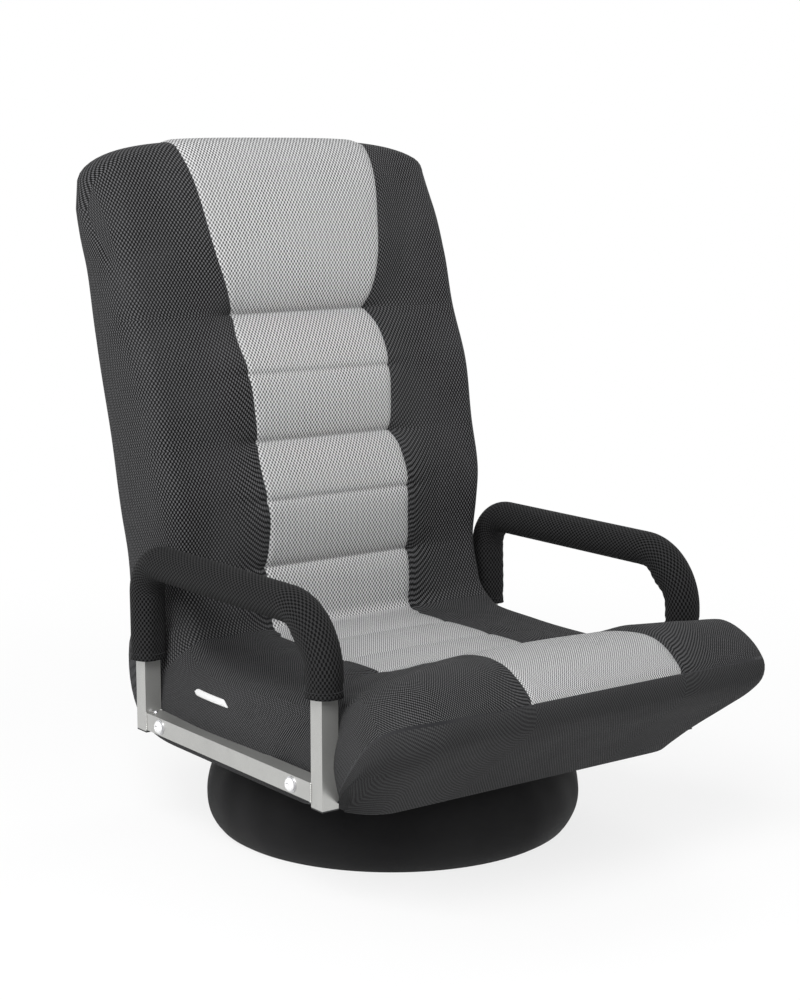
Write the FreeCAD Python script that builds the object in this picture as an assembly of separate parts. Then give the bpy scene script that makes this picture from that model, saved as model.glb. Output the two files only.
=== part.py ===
import FreeCAD, Part
import math
import os

# Legless floor chair on a swivel base. Millimetres, origin on the floor under
# the swivel axis, +Z up. The sitter faces -Y; left and right are the sitter's.

V = FreeCAD.Vector
SIDES = {"left": 1, "right": -1}

# Steel square tube of every frame, and general clearances
TUBE = 20.0
TUBE_WALL = 1.5
PLATE = 3.0
RUNNING_GAP = 0.3
SOFT_GAP = 0.5

# Round base under its fabric cover
BASE_WIDE_R = 217.0
BASE_WIDE_Z = 34.0
BASE_FLOOR_IN = 12.0
BASE_SHOULDER_IN = 21.0
BASE_SHOULDER_Z = 88.0
BASE_SHOULDER_ROUND = 10.0
BASE_TOP_Z = 98.0
BASE_COVER_WALL = 4.0
BASE_HEM_Z = 2.0
FLOOR_PAD_THICK = 3.0
FLOOR_PAD_IN = 17.0
FLOOR_RING_IN = 33.0
SPOKE_COUNT = 4
SPOKE_TUBE = 16.0
SPOKE_INNER_R = 20.0
SPOKE_BEND_AT_R = 85.0
SPOKE_BEND_R = 30.0
HUB_R = 118.0
HUB_THICK = 4.0
COVER_CLAMP = 10.0

# Swivel bearing: two pressed plates with a ball race between them
SWIVEL_PLATE = 150.0
SWIVEL_CORNER_R = 14.0
RACE_R = 46.0
RACE_DEPTH = 1.2
BALL_D = 9.0
BALL_COUNT = 8
CAGE_THICK = 2.0
CAGE_MARGIN = 5.0
RIVET_R = 12.0
RIVET_HEAD_R = 17.0
RIVET_HEAD = 2.5
SWIVEL_BOLT_AT = 62.0
SWIVEL_BOLT_D = 6.0
SWIVEL_HEAD_R = 5.5
SWIVEL_HEAD = 2.4
SWIVEL_NUT_AF = 10.0
SWIVEL_NUT = 5.0

# Seat frame
RAIL_INSET = 5.0
RAIL_Z = 128.0
RAIL_FRONT_Y = -242.0
RAIL_REAR_Y = 100.0
REAR_BAR_Y = 84.0
STRAP_THICK = 2.0
SEAT_STRAPS_Y = (-185.0, -120.0, -20.0, 20.0)
SEAT_STRAP_WIDTH = 34.0

# Seat cushion: underside, nose, seams across the grey channels
SEAT_BOTTOM_Z = 104.0
SEAT_BOTTOM_FRONT_Y = -250.0
SEAT_REAR_Y = 122.0
SEAT_HALF = 233.0
SEAT_BOTTOM_IN = 20.0
SEAT_REAR_IN = 10.0
SEAT_NOSE_OUT = 10.0
SEAT_WIDENS_Y = -300.0
SEAT_NARROWS_Y = 60.0
SEAT_EDGE_IN = 11.0
SEAT_EDGE_Z = 206.0
SEAT_NOSE_Y = -378.0
SEAT_NOSE_Z = 218.0
SEAT_NOSE_THICK = 20.0
SEAT_NOSE_CORNER = 44.0
SEAT_SEAMS_Y = (104.0, 13.0, -65.0, -132.0)
SEAT_SEAM_Z = 217.0
SEAT_CHANNEL_CROWN = 8.0
SEAT_PANEL_HALF = 90.0
BOLSTER_CREST_Y = -312.0
BOLSTER_CREST_Z = 263.0
BOLSTER_SEAM_Y = -361.0
BOLSTER_SEAM_Z = 232.0
BOLSTER_PANEL_HALF = 102.0
CLOTH_THICK = 1.5
CLOTH_HOLE_R = 116.0

# Armrests: bent hoop, lower rail, padded sleeve, bolts through the rail
ARM_GAP = 4.5
ARM_FRONT_Y = -220.0
ARM_REAR_Y = 132.0
ARM_TOP_Z = 313.0
ARM_FRONT_END_Z = 113.0
ARM_REAR_END_Z = 116.0
ARM_FRONT_BEND = 62.0
ARM_REAR_BEND = 40.0
SLEEVE_D = 43.0
SLEEVE_FRONT_Z = 229.0
SLEEVE_REAR_Z = 199.0
PLUG_DEPTH = 12.0
PLUG_CAP = 1.5
ARM_BOLTS_Y = (91.0, -174.0)
ARM_BOLT_D = 8.0
ARM_HEAD_R = 7.0
ARM_HEAD = 4.4
WASHER_R = 8.5
WASHER = 1.2
SPACER_R = 7.0
ARM_NUT_AF = 13.0
ARM_NUT = 6.5
BOLT_PROUD = 2.0

# Recline hinge: toothed plate on the seat, arm plate and pawl on the back
HINGE_Y = 170.0
HINGE_Z = 180.0
HINGE_PIN_R = 6.0
HINGE_HEAD_R = 10.0
HINGE_HEAD = 2.5
TOOTH_PLATE = 4.0
TOOTH_PLATE_FOOT = 60.0
TOOTH_TIP_R = 34.0
TOOTH_DEPTH = 6.0
TOOTH_STEP = 18.0
TOOTH_UPRIGHT_STEPS = 1
TOOTH_FLAT_STEPS = 4
TOOTH_WIDTH = 7.6
HINGE_GAP = 1.0
ARM_PLATE_WIDTH = 34.0
ARM_PLATE_REACH = 132.0
PAWL_PIVOT_UP = 43.0
PAWL_PIVOT_BACK = 26.0
PAWL_PIN_R = 4.0
PAWL_BOSS_R = 8.0
PAWL_NOSE = 4.4
PAWL_NOSE_FORE = 1.8
PAWL_LIFT = 1.5
SPRING_THICK = 0.8
SPRING_WIDTH = 3.0
SPRING_STUD_R = 3.0

# Back frame, leaning through the hinge axis
BACK_LEAN = 10.0
BACK_TUBE_START = 72.0
BACK_TUBE_TOP = 535.0
BACK_BEND = 55.0
BACK_BARS_AT = (96.0, 330.0)
BACK_STRAPS_AT = (170.0, 245.0, 400.0, 470.0)
BACK_STRAP_WIDTH = 50.0

# Back cushion: seam heights with the front face there, rear face, outline
BACK_END_R = 74.0
BACK_SEAMS = ((222.0, 104.0), (289.0, 110.0), (367.0, 105.0), (432.0, 136.0),
              (510.0, 143.0), (577.0, 189.0), (778.0, 242.0))
BACK_CROWNS = (7.0, 8.0, 8.0, 9.0, 9.0, 24.0)
BACK_REAR = ((180.0, 244.0), (400.0, 250.0), (560.0, 280.0), (662.0, 292.0), (790.0, 302.0))
BACK_FLARE = ((180.0, -11.0), (336.0, -10.0), (380.0, -5.0), (560.0, 6.0), (690.0, 14.0), (790.0, 16.0))
BACK_TOP_Z = 782.0
BACK_ROUND_Z = 705.0
BACK_ROUND_POWER = 3.2
BACK_PANEL_HALF = 99.0
HEAD_PANEL_HALF = 139.0
BACK_PANEL_BOW = 5.0
BACK_EDGE_IN = 20.0
BACK_REAR_BOW = 6.0
BACK_LOW_LEAN = 7.0
RECLINE_GAP = 12.0
HINGE_SLOT_ROOM = 4.0
CHANNEL_STATIONS = (0.0, 0.12, 0.35, 0.65, 0.88)
CHANNEL_POWER = 3.0

# Heights and places that follow from the sizes above
BASE_FLOOR_R = BASE_WIDE_R - BASE_FLOOR_IN
BASE_SHOULDER_R = BASE_WIDE_R - BASE_SHOULDER_IN
FLOOR_PAD_R = BASE_WIDE_R - FLOOR_PAD_IN
FLOOR_RING_R = BASE_WIDE_R - FLOOR_RING_IN
SEAT_BOTTOM_HALF = SEAT_HALF - SEAT_BOTTOM_IN
SEAT_REAR_HALF = SEAT_HALF - SEAT_REAR_IN
SEAT_NOSE_HALF = SEAT_HALF + SEAT_NOSE_OUT
BACK_HALVES = tuple((z, SEAT_HALF + flare) for z, flare in BACK_FLARE)
ARM_X = SEAT_HALF + ARM_GAP + TUBE / 2
RAIL_X = SEAT_BOTTOM_HALF - RAIL_INSET - TUBE / 2
hub_top = BASE_TOP_Z + HUB_THICK
lower_plate_top = hub_top + PLATE
ball_z = lower_plate_top - RACE_DEPTH + BALL_D / 2
upper_plate_z = lower_plate_top - 2 * RACE_DEPTH + BALL_D
carrier_z = upper_plate_z + PLATE + TUBE / 2
rail_in = RAIL_X - TUBE / 2
rail_out = RAIL_X + TUBE / 2
rail_top = RAIL_Z + TUBE / 2
arm_plate_out = rail_in - TOOTH_PLATE - HINGE_GAP
back_tube_x = arm_plate_out + TUBE / 2
pocket_top = rail_top + STRAP_THICK + SOFT_GAP
hinge = V(0, HINGE_Y, HINGE_Z)
lean = math.radians(BACK_LEAN)
UP = V(0, math.sin(lean), math.cos(lean))
FORE = V(0, -math.cos(lean), math.sin(lean))
X_AXIS = V(1, 0, 0)
Y_AXIS = V(0, 1, 0)
Z_AXIS = V(0, 0, 1)

nodes = {}


def box(low, high):
    """Box between two opposite corners, given in any order."""
    x0, x1 = sorted((low[0], high[0]))
    y0, y1 = sorted((low[1], high[1]))
    z0, z1 = sorted((low[2], high[2]))
    return Part.makeBox(x1 - x0, y1 - y0, z1 - z0, V(x0, y0, z0))


def rod(start, direction, radius, length):
    return Part.makeCylinder(radius, length, start, direction)


def ring(start, direction, outer, inner, length):
    return rod(start, direction, outer, length).cut(rod(start, direction, inner, length))


def line(a, b):
    return Part.makeLine(a, b)


def arc(a, through, b):
    return Part.Arc(a, through, b).toShape()


def hexagon(start, direction, across_flats, length, across=Y_AXIS):
    """Hexagonal prism standing on start."""
    radius = across_flats / math.sqrt(3)
    other = direction.cross(across)
    corners = []
    for k in range(7):
        turn = math.radians(60 * k)
        corners.append(start + across * (radius * math.cos(turn)) + other * (radius * math.sin(turn)))
    face = Part.Face(Part.makePolygon(corners))
    return face.extrude(direction * length)


def nut(start, direction, across_flats, length, bore):
    return hexagon(start, direction, across_flats, length).cut(rod(start, direction, bore, length))


def square_tube(start, end, across):
    """Hollow square tube between two points; across is one of its flat directions."""
    along = end - start
    other = along.cross(across).normalize()

    def bar(side):
        half = side / 2
        corners = [start + across * (half * a) + other * (half * b)
                   for a, b in ((-1, -1), (1, -1), (1, 1), (-1, 1), (-1, -1))]
        return Part.Face(Part.makePolygon(corners)).extrude(along)

    return bar(TUBE).cut(bar(TUBE - 2 * TUBE_WALL))


def sweep(profile, path):
    return path.makePipeShell([profile], True, False)


def square_wire(centre, across, other, side):
    half = side / 2
    return Part.makePolygon([centre + across * (half * a) + other * (half * b)
                             for a, b in ((-1, -1), (1, -1), (1, 1), (-1, 1), (-1, -1))])


def circle_wire(centre, direction, radius):
    return Part.Wire(Part.makeCircle(radius, centre, direction))


def bend_path(points, radii):
    """Polyline with its inner corners rounded by the radii."""
    edges = []
    start = points[0]
    for before, corner, after, radius in zip(points, points[1:], points[2:], radii):
        back = (before - corner).normalize()
        ahead = (after - corner).normalize()
        half_angle = back.getAngle(ahead) / 2
        reach = radius / math.tan(half_angle)
        centre = corner + (back + ahead).normalize() * (radius / math.sin(half_angle))
        begin = corner + back * reach
        finish = corner + ahead * reach
        middle = centre + (corner - centre).normalize() * radius
        edges.append(line(start, begin))
        edges.append(arc(begin, middle, finish))
        start = finish
    edges.append(line(start, points[-1]))
    return Part.Wire(edges)


def between(pairs, value):
    """Value on the broken line through the pairs, held at both ends."""
    if value <= pairs[0][0]:
        return pairs[0][1]
    for (a, fa), (b, fb) in zip(pairs, pairs[1:]):
        if value <= b:
            return fa + (fb - fa) * (value - a) / (b - a)
    return pairs[-1][1]


def channel_crown(share):
    """Height of a stuffed channel across its width, 0 at both seams and 1 in the middle."""
    return 1 - abs(2 * share - 1) ** CHANNEL_POWER


def leaned(x, up, fore):
    """Point given in the leaning frame of the back, measured from the hinge axis."""
    return hinge + X_AXIS * x + UP * up + FORE * fore


def outline_prism(points, x_from, x_to):
    """Flat outline given by points at x_from, drawn out along X to x_to."""
    face = Part.Face(Part.makePolygon(points + [points[0]]))
    return face.extrude(X_AXIS * (x_to - x_from))


# Base
def base_cover():
    """Padded cloth skirt: rounded outside, straight inside, clamped at its top under the hub plate."""
    hem = V(BASE_FLOOR_R, 0, BASE_HEM_Z)
    shoulder = V(BASE_SHOULDER_R, 0, BASE_SHOULDER_Z)
    crest = V(BASE_SHOULDER_R - BASE_SHOULDER_ROUND, 0, BASE_TOP_Z)
    bulge = BASE_SHOULDER_ROUND / 5
    corner = (shoulder + crest) * 0.5 + V(bulge, 0, bulge)
    rim = V(HUB_R - COVER_CLAMP, 0, BASE_TOP_Z)
    rim_under = rim - Z_AXIS * BASE_COVER_WALL
    crest_under = crest - V(BASE_COVER_WALL, 0, BASE_COVER_WALL)
    hem_inside = hem - X_AXIS * BASE_COVER_WALL
    edges = [arc(hem, V(BASE_WIDE_R, 0, BASE_WIDE_Z), shoulder), arc(shoulder, corner, crest), line(crest, rim),
             line(rim, rim_under), line(rim_under, crest_under), line(crest_under, hem_inside), line(hem_inside, hem)]
    return Part.Face(Part.Wire(edges)).revolve(V(0, 0, 0), Z_AXIS, 360)


def rolled_tube(radius, z, side):
    """Solid square bar rolled into a ring."""
    return ring(V(0, 0, z - side / 2), Z_AXIS, radius + side / 2, radius - side / 2, side)


def base_pieces():
    nodes["base_cover"] = base_cover()
    nodes["base_floor_pad"] = rod(V(0, 0, 0), Z_AXIS, FLOOR_PAD_R, FLOOR_PAD_THICK)
    ring_z = FLOOR_PAD_THICK + TUBE / 2
    floor_ring = rolled_tube(FLOOR_RING_R, ring_z, TUBE)
    nodes["base_floor_ring"] = floor_ring.cut(rolled_tube(FLOOR_RING_R, ring_z, TUBE - 2 * TUBE_WALL))

    spoke_z = BASE_TOP_Z - SPOKE_TUBE / 2
    path = bend_path([V(SPOKE_INNER_R, 0, spoke_z), V(SPOKE_BEND_AT_R, 0, spoke_z),
                      V(FLOOR_RING_R, 0, ring_z)], [SPOKE_BEND_R])
    start = V(SPOKE_INNER_R, 0, spoke_z)
    solid = sweep(circle_wire(start, X_AXIS, SPOKE_TUBE / 2), path)
    hollow = sweep(circle_wire(start, X_AXIS, SPOKE_TUBE / 2 - TUBE_WALL), path)
    spoke = solid.cut(hollow).cut(floor_ring)
    spoke = max(spoke.Solids, key=lambda piece: piece.Volume)
    for k in range(SPOKE_COUNT):
        turned = spoke.copy()
        turned.rotate(V(0, 0, 0), Z_AXIS, 360.0 * k / SPOKE_COUNT)
        nodes["base_spoke_%d" % (k + 1)] = turned

    hub = rod(V(0, 0, BASE_TOP_Z), Z_AXIS, HUB_R, HUB_THICK)
    for x, y in bolt_places():
        hub = hub.cut(rod(V(x, y, BASE_TOP_Z), Z_AXIS, SWIVEL_BOLT_D / 2 + RUNNING_GAP, HUB_THICK))
    nodes["base_hub_plate"] = hub


def bolt_places():
    return [(SWIVEL_BOLT_AT * a, SWIVEL_BOLT_AT * b) for a in (-1, 1) for b in (-1, 1)]


def group(solids):
    return Part.makeCompound(solids)


# Swivel bearing
def race_plate(low_z, race_z):
    half = SWIVEL_PLATE / 2
    plate = box((-half, -half, low_z), (half, half, low_z + PLATE))
    upright = [edge for edge in plate.Edges if abs(edge.tangentAt(edge.FirstParameter).z) > 0.9]
    plate = plate.makeFillet(SWIVEL_CORNER_R, upright)
    plate = plate.cut(Part.makeTorus(RACE_R, BALL_D / 2, V(0, 0, race_z)))
    plate = plate.cut(rod(V(0, 0, low_z), Z_AXIS, RIVET_R + RUNNING_GAP, PLATE))
    for x, y in bolt_places():
        plate = plate.cut(rod(V(x, y, low_z), Z_AXIS, SWIVEL_BOLT_D / 2 + RUNNING_GAP, PLATE))
    return plate


def swivel_pieces():
    nodes["swivel_lower_plate"] = race_plate(hub_top, ball_z)
    nodes["swivel_upper_plate"] = race_plate(upper_plate_z, ball_z)
    ball_r = BALL_D / 2 - RUNNING_GAP / 2
    cage = ring(V(0, 0, ball_z - CAGE_THICK / 2), Z_AXIS, RACE_R + BALL_D / 2 + CAGE_MARGIN,
                RACE_R - BALL_D / 2 - CAGE_MARGIN, CAGE_THICK)
    balls = []
    for k in range(BALL_COUNT):
        turn = 2 * math.pi * k / BALL_COUNT
        spot = V(RACE_R * math.cos(turn), RACE_R * math.sin(turn), ball_z)
        balls.append(Part.makeSphere(ball_r, spot))
        cage = cage.cut(rod(spot - Z_AXIS * CAGE_THICK, Z_AXIS, BALL_D / 2 + RUNNING_GAP / 2, 2 * CAGE_THICK))
    nodes["swivel_balls"] = group(balls)
    nodes["swivel_ball_cage"] = cage
    head_z = upper_plate_z + PLATE + RUNNING_GAP
    rivet = rod(V(0, 0, hub_top), Z_AXIS, RIVET_R, head_z - hub_top)
    nodes["swivel_rivet"] = rivet.fuse(rod(V(0, 0, head_z), Z_AXIS, RIVET_HEAD_R, RIVET_HEAD))

    lower, lower_nuts, upper, upper_nuts = [], [], [], []
    radius = SWIVEL_BOLT_D / 2
    for x, y in bolt_places():
        shank_end = BASE_TOP_Z - SWIVEL_NUT
        bolt = rod(V(x, y, shank_end), Z_AXIS, radius, lower_plate_top - shank_end)
        lower.append(bolt.fuse(rod(V(x, y, lower_plate_top), Z_AXIS, SWIVEL_HEAD_R, SWIVEL_HEAD)))
        lower_nuts.append(nut(V(x, y, shank_end), Z_AXIS, SWIVEL_NUT_AF, SWIVEL_NUT, radius))
        nut_z = carrier_z + TUBE / 2
        bolt = rod(V(x, y, upper_plate_z), Z_AXIS, radius, nut_z + SWIVEL_NUT - upper_plate_z)
        head = rod(V(x, y, upper_plate_z - SWIVEL_HEAD), Z_AXIS, SWIVEL_HEAD_R, SWIVEL_HEAD)
        upper.append(bolt.fuse(head))
        upper_nuts.append(nut(V(x, y, nut_z), Z_AXIS, SWIVEL_NUT_AF, SWIVEL_NUT, radius))
    nodes["base_bolts"] = group(lower)
    nodes["base_nuts"] = group(lower_nuts)
    nodes["swivel_bolts"] = group(upper)
    nodes["swivel_nuts"] = group(upper_nuts)


# Seat frame
def seat_frame():
    for name, side in SIDES.items():
        rail = square_tube(V(side * RAIL_X, RAIL_FRONT_Y, RAIL_Z), V(side * RAIL_X, RAIL_REAR_Y, RAIL_Z), X_AXIS)
        for y in ARM_BOLTS_Y:
            rail = rail.cut(rod(V(side * RAIL_X, y, RAIL_Z), X_AXIS * side, ARM_BOLT_D / 2 + RUNNING_GAP, TUBE))
        nodes["seat_side_rail_" + name] = rail
    bars = {"seat_front_bar": (RAIL_FRONT_Y + TUBE / 2, RAIL_Z), "seat_rear_bar": (REAR_BAR_Y, RAIL_Z),
            "swivel_carrier_front": (-SWIVEL_BOLT_AT, carrier_z), "swivel_carrier_rear": (SWIVEL_BOLT_AT, carrier_z)}
    for name, (y, z) in bars.items():
        half = rail_in - TOOTH_PLATE if y > RAIL_REAR_Y - TOOTH_PLATE_FOOT else rail_in
        bar = square_tube(V(-half, y, z), V(half, y, z), Y_AXIS)
        if name.startswith("swivel"):
            for x in (-SWIVEL_BOLT_AT, SWIVEL_BOLT_AT):
                bar = bar.cut(rod(V(x, y, z - TUBE), Z_AXIS, SWIVEL_BOLT_D / 2 + RUNNING_GAP, 2 * TUBE))
        nodes[name] = bar
    for k, y in enumerate(SEAT_STRAPS_Y):
        nodes["seat_strap_%d" % (k + 1)] = box((-rail_out, y - SEAT_STRAP_WIDTH / 2, rail_top),
                                               (rail_out, y + SEAT_STRAP_WIDTH / 2, rail_top + STRAP_THICK))


# Seat cushion
def seat_top(y):
    """Height of the middle of the grey panel at one place along the seat."""
    seams = SEAT_SEAMS_Y
    if y >= seams[0]:
        return SEAT_SEAM_Z
    for rear, front in zip(seams, seams[1:]):
        if y >= front:
            return SEAT_SEAM_Z + SEAT_CHANNEL_CROWN * channel_crown((rear - y) / (rear - front))
    if y >= BOLSTER_CREST_Y:
        share = (seams[-1] - y) / (seams[-1] - BOLSTER_CREST_Y)
        return SEAT_SEAM_Z + (BOLSTER_CREST_Z - SEAT_SEAM_Z) * math.sin(math.pi / 2 * share)
    if y >= BOLSTER_SEAM_Y:
        share = (BOLSTER_CREST_Y - y) / (BOLSTER_CREST_Y - BOLSTER_SEAM_Y)
        return BOLSTER_CREST_Z - (BOLSTER_CREST_Z - BOLSTER_SEAM_Z) * share ** 2
    share = (BOLSTER_SEAM_Y - y) / (BOLSTER_SEAM_Y - SEAT_NOSE_Y)
    nose_top = SEAT_NOSE_Z + SEAT_NOSE_THICK / 2
    return BOLSTER_SEAM_Z - (BOLSTER_SEAM_Z - nose_top) * share ** 2


def seat_half(y):
    """Half width of the seat: drawn in at the rear posts, full at the nose, rounded corners."""
    wide = between(((SEAT_WIDENS_Y, SEAT_NOSE_HALF), (ARM_FRONT_Y - TUBE, SEAT_HALF),
                    (SEAT_NARROWS_Y, SEAT_HALF), (SEAT_SEAMS_Y[0], SEAT_REAR_HALF)), y)
    into = SEAT_NOSE_Y + SEAT_NOSE_CORNER - y
    if into > 0:
        reach = min(into, 0.97 * SEAT_NOSE_CORNER)
        wide = wide - SEAT_NOSE_CORNER + math.sqrt(SEAT_NOSE_CORNER ** 2 - reach ** 2)
    return wide


def seat_section(y):
    top = seat_top(y)
    half = seat_half(y)
    slant = max(0.0, (SEAT_BOTTOM_FRONT_Y - y) / (SEAT_BOTTOM_FRONT_Y - SEAT_NOSE_Y))
    nose_low = SEAT_NOSE_Z - SEAT_NOSE_THICK / 2
    bottom = SEAT_BOTTOM_Z + (nose_low - SEAT_BOTTOM_Z) * slant
    bottom_half = min(SEAT_BOTTOM_HALF + (half - SEAT_BOTTOM_HALF) * slant, half) - SEAT_EDGE_IN * slant
    rise = max(0.0, (SEAT_SEAMS_Y[-1] - y) / (SEAT_SEAMS_Y[-1] - SEAT_NOSE_Y))
    edge = min(SEAT_EDGE_Z + (top - SEAT_EDGE_Z) * min(1.0, 1.15 * rise), top - 2.0)
    edge = max(edge, bottom + 4.0)
    edge_half = half - SEAT_EDGE_IN
    panel = between(((SEAT_SEAMS_Y[-1] - 1.0, BOLSTER_PANEL_HALF), (SEAT_SEAMS_Y[-1], SEAT_PANEL_HALF)), y)
    shoulder = edge + (top - edge) * 0.8
    side = (edge + bottom) / 2
    middle_x = (panel + edge_half) / 2

    def at(x, z):
        return V(x, y, z)

    return Part.Wire([
        line(at(-bottom_half, bottom), at(bottom_half, bottom)),
        arc(at(bottom_half, bottom), at(half, side), at(edge_half, edge)),
        arc(at(edge_half, edge), at(middle_x, shoulder + 2.0), at(panel, top)),
        arc(at(panel, top), at(0, top + 1.5), at(-panel, top)),
        arc(at(-panel, top), at(-middle_x, shoulder + 2.0), at(-edge_half, edge)),
        arc(at(-edge_half, edge), at(-half, side), at(-bottom_half, bottom)),
    ])


def seat_stations():
    stations = [SEAT_REAR_Y]
    for rear, front in zip(SEAT_SEAMS_Y, SEAT_SEAMS_Y[1:]):
        stations += [rear + (front - rear) * share for share in CHANNEL_STATIONS]
    stations.append(SEAT_SEAMS_Y[-1])
    ramp = SEAT_SEAMS_Y[-1] - BOLSTER_CREST_Y
    stations += [SEAT_SEAMS_Y[-1] - ramp * share for share in (0.08, 0.25, 0.45, 0.65, 0.82, 1.0)]
    fall = BOLSTER_CREST_Y - BOLSTER_SEAM_Y
    stations += [BOLSTER_CREST_Y - fall * share for share in (0.3, 0.6, 0.85, 1.0)]
    nose = BOLSTER_SEAM_Y - SEAT_NOSE_Y
    stations += [BOLSTER_SEAM_Y - nose * share for share in (0.5, 0.85, 1.0)]
    return stations


def recline_room():
    """Room in the rear of the seat for the lower end of the back, up to its upright position."""
    reach = BACK_END_R + RECLINE_GAP
    room = rod(V(-ARM_X, HINGE_Y, HINGE_Z), X_AXIS, reach, 2 * ARM_X)
    upright = math.radians(BACK_LOW_LEAN - TOOTH_STEP * TOOTH_UPRIGHT_STEPS)
    facing = V(0, -math.cos(upright), math.sin(upright))
    rising = V(0, math.sin(upright), math.cos(upright))
    start = hinge + facing * reach
    far = BOLSTER_CREST_Z
    corner = V(-ARM_X, 0, 0)
    outline = [hinge + corner, start + corner, start + rising * far + corner, hinge + rising * far + corner]
    return room.fuse(outline_prism(outline, -ARM_X, ARM_X))


def tooth_plate_outline(x, margin):
    """Plate from the seat rail to the hinge disc, grown by margin."""
    low = rail_top - TUBE - margin
    rear = RAIL_REAR_Y + margin
    front = RAIL_REAR_Y - TOOTH_PLATE_FOOT - margin
    reach = TOOTH_TIP_R + margin
    fall = V(0, HINGE_Y - front, HINGE_Z - rail_top).normalize()
    above = V(0, -fall.z, fall.y)
    top = hinge + above * (reach - TOOTH_DEPTH)
    under = hinge - above * reach
    return [V(x, front, low), V(x, rear, low), V(x, under.y, under.z), V(x, top.y, top.z),
            V(x, front, rail_top + margin)]


def seat_cushion():
    solid = Part.makeLoft([seat_section(y) for y in seat_stations()], True, True)
    solid = solid.cut(recline_room())
    wall = rail_out + SOFT_GAP
    pocket = box((-wall, RAIL_FRONT_Y - SOFT_GAP, 0), (wall, SEAT_REAR_Y + TUBE, pocket_top))
    solid = solid.cut(pocket)
    nut_room = SWIVEL_NUT_AF
    for x, y in bolt_places():
        solid = solid.cut(rod(V(x, y, pocket_top - 1), Z_AXIS, nut_room, SWIVEL_NUT + 2))
    for side in SIDES.values():
        low_x = side * (rail_in + SOFT_GAP)
        high_x = side * (arm_plate_out - PLATE - HINGE_HEAD - 2 * SOFT_GAP)
        solid = solid.cut(outline_prism(tooth_plate_outline(low_x, HINGE_SLOT_ROOM), low_x, high_x))
        for y in ARM_BOLTS_Y:
            solid = solid.cut(rod(V(side * RAIL_X, y, RAIL_Z), X_AXIS * side, SPACER_R + SOFT_GAP, TUBE * 3))
    return solid


def underside_cloth():
    half = SEAT_BOTTOM_HALF - SOFT_GAP
    cloth = box((-half, SEAT_BOTTOM_FRONT_Y, SEAT_BOTTOM_Z - CLOTH_THICK), (half, RAIL_REAR_Y, SEAT_BOTTOM_Z))
    return cloth.cut(rod(V(0, 0, SEAT_BOTTOM_Z - CLOTH_THICK), Z_AXIS, CLOTH_HOLE_R, CLOTH_THICK))


# Armrests
def hoop_path(x, front_end, rear_end):
    points = [V(x, ARM_FRONT_Y, front_end), V(x, ARM_FRONT_Y, ARM_TOP_Z),
              V(x, ARM_REAR_Y, ARM_TOP_Z), V(x, ARM_REAR_Y, rear_end)]
    return bend_path(points, [ARM_FRONT_BEND, ARM_REAR_BEND])


def square_hoop(x, front_end, rear_end, side):
    start = V(x, ARM_FRONT_Y, front_end)
    return sweep(square_wire(start, X_AXIS, Y_AXIS, side), hoop_path(x, front_end, rear_end))


def armrest(name, side):
    x = side * ARM_X
    tube = square_hoop(x, ARM_FRONT_END_Z, ARM_REAR_END_Z, TUBE)
    tube = tube.cut(square_hoop(x, ARM_FRONT_END_Z, ARM_REAR_END_Z, TUBE - 2 * TUBE_WALL))
    nodes["armrest_hoop_" + name] = tube

    rail = square_tube(V(x, ARM_FRONT_Y + TUBE / 2, RAIL_Z), V(x, ARM_REAR_Y - TUBE / 2, RAIL_Z), X_AXIS)
    for y in ARM_BOLTS_Y:
        rail = rail.cut(rod(V(x - TUBE, y, RAIL_Z), X_AXIS, ARM_BOLT_D / 2 + RUNNING_GAP, 2 * TUBE))
    nodes["armrest_rail_" + name] = rail

    start = V(x, ARM_FRONT_Y, SLEEVE_FRONT_Z)
    sleeve = sweep(circle_wire(start, Z_AXIS, SLEEVE_D / 2), hoop_path(x, SLEEVE_FRONT_Z, SLEEVE_REAR_Z))
    room = square_hoop(x, SLEEVE_FRONT_Z, SLEEVE_REAR_Z, TUBE + RUNNING_GAP)
    nodes["armrest_sleeve_" + name] = sleeve.cut(room)

    bore = TUBE / 2 - TUBE_WALL - RUNNING_GAP / 2
    plugs = []
    for y, end in ((ARM_FRONT_Y, ARM_FRONT_END_Z), (ARM_REAR_Y, ARM_REAR_END_Z)):
        stem = box((x - bore, y - bore, end), (x + bore, y + bore, end + PLUG_DEPTH))
        half = TUBE / 2
        plugs.append(stem.fuse(box((x - half, y - half, end - PLUG_CAP), (x + half, y + half, end))))
    return plugs


def armrest_pieces():
    plugs, bolts, washers, spacers, nuts = [], [], [], [], []
    outer = ARM_X + TUBE / 2
    inner = ARM_X - TUBE / 2
    radius = ARM_BOLT_D / 2
    for name, side in SIDES.items():
        plugs += armrest(name, side)
        out = X_AXIS * side
        for y in ARM_BOLTS_Y:
            spot = V(0, y, RAIL_Z)
            washers.append(ring(spot + out * outer, out, WASHER_R, radius + RUNNING_GAP, WASHER))
            seat = outer + WASHER
            nut_at = rail_out - TUBE_WALL - ARM_NUT
            bolt_end = nut_at - BOLT_PROUD
            bolt = rod(spot + out * bolt_end, out, radius, seat - bolt_end)
            head = rod(spot + out * seat, out, ARM_HEAD_R, ARM_HEAD)
            rim = [edge for edge in head.Edges if abs(edge.BoundBox.Center.x - side * (seat + ARM_HEAD)) < 0.01]
            bolts.append(bolt.fuse(head.makeFillet(ARM_HEAD * 0.7, rim)))
            spacers.append(ring(spot + out * rail_out, out, SPACER_R, radius + RUNNING_GAP, inner - rail_out))
            nuts.append(nut(spot + out * nut_at, out, ARM_NUT_AF, ARM_NUT, radius))
    nodes["armrest_plugs"] = group(plugs)
    nodes["armrest_bolts"] = group(bolts)
    nodes["armrest_washers"] = group(washers)
    nodes["armrest_spacers"] = group(spacers)
    nodes["armrest_nuts"] = group(nuts)


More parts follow.
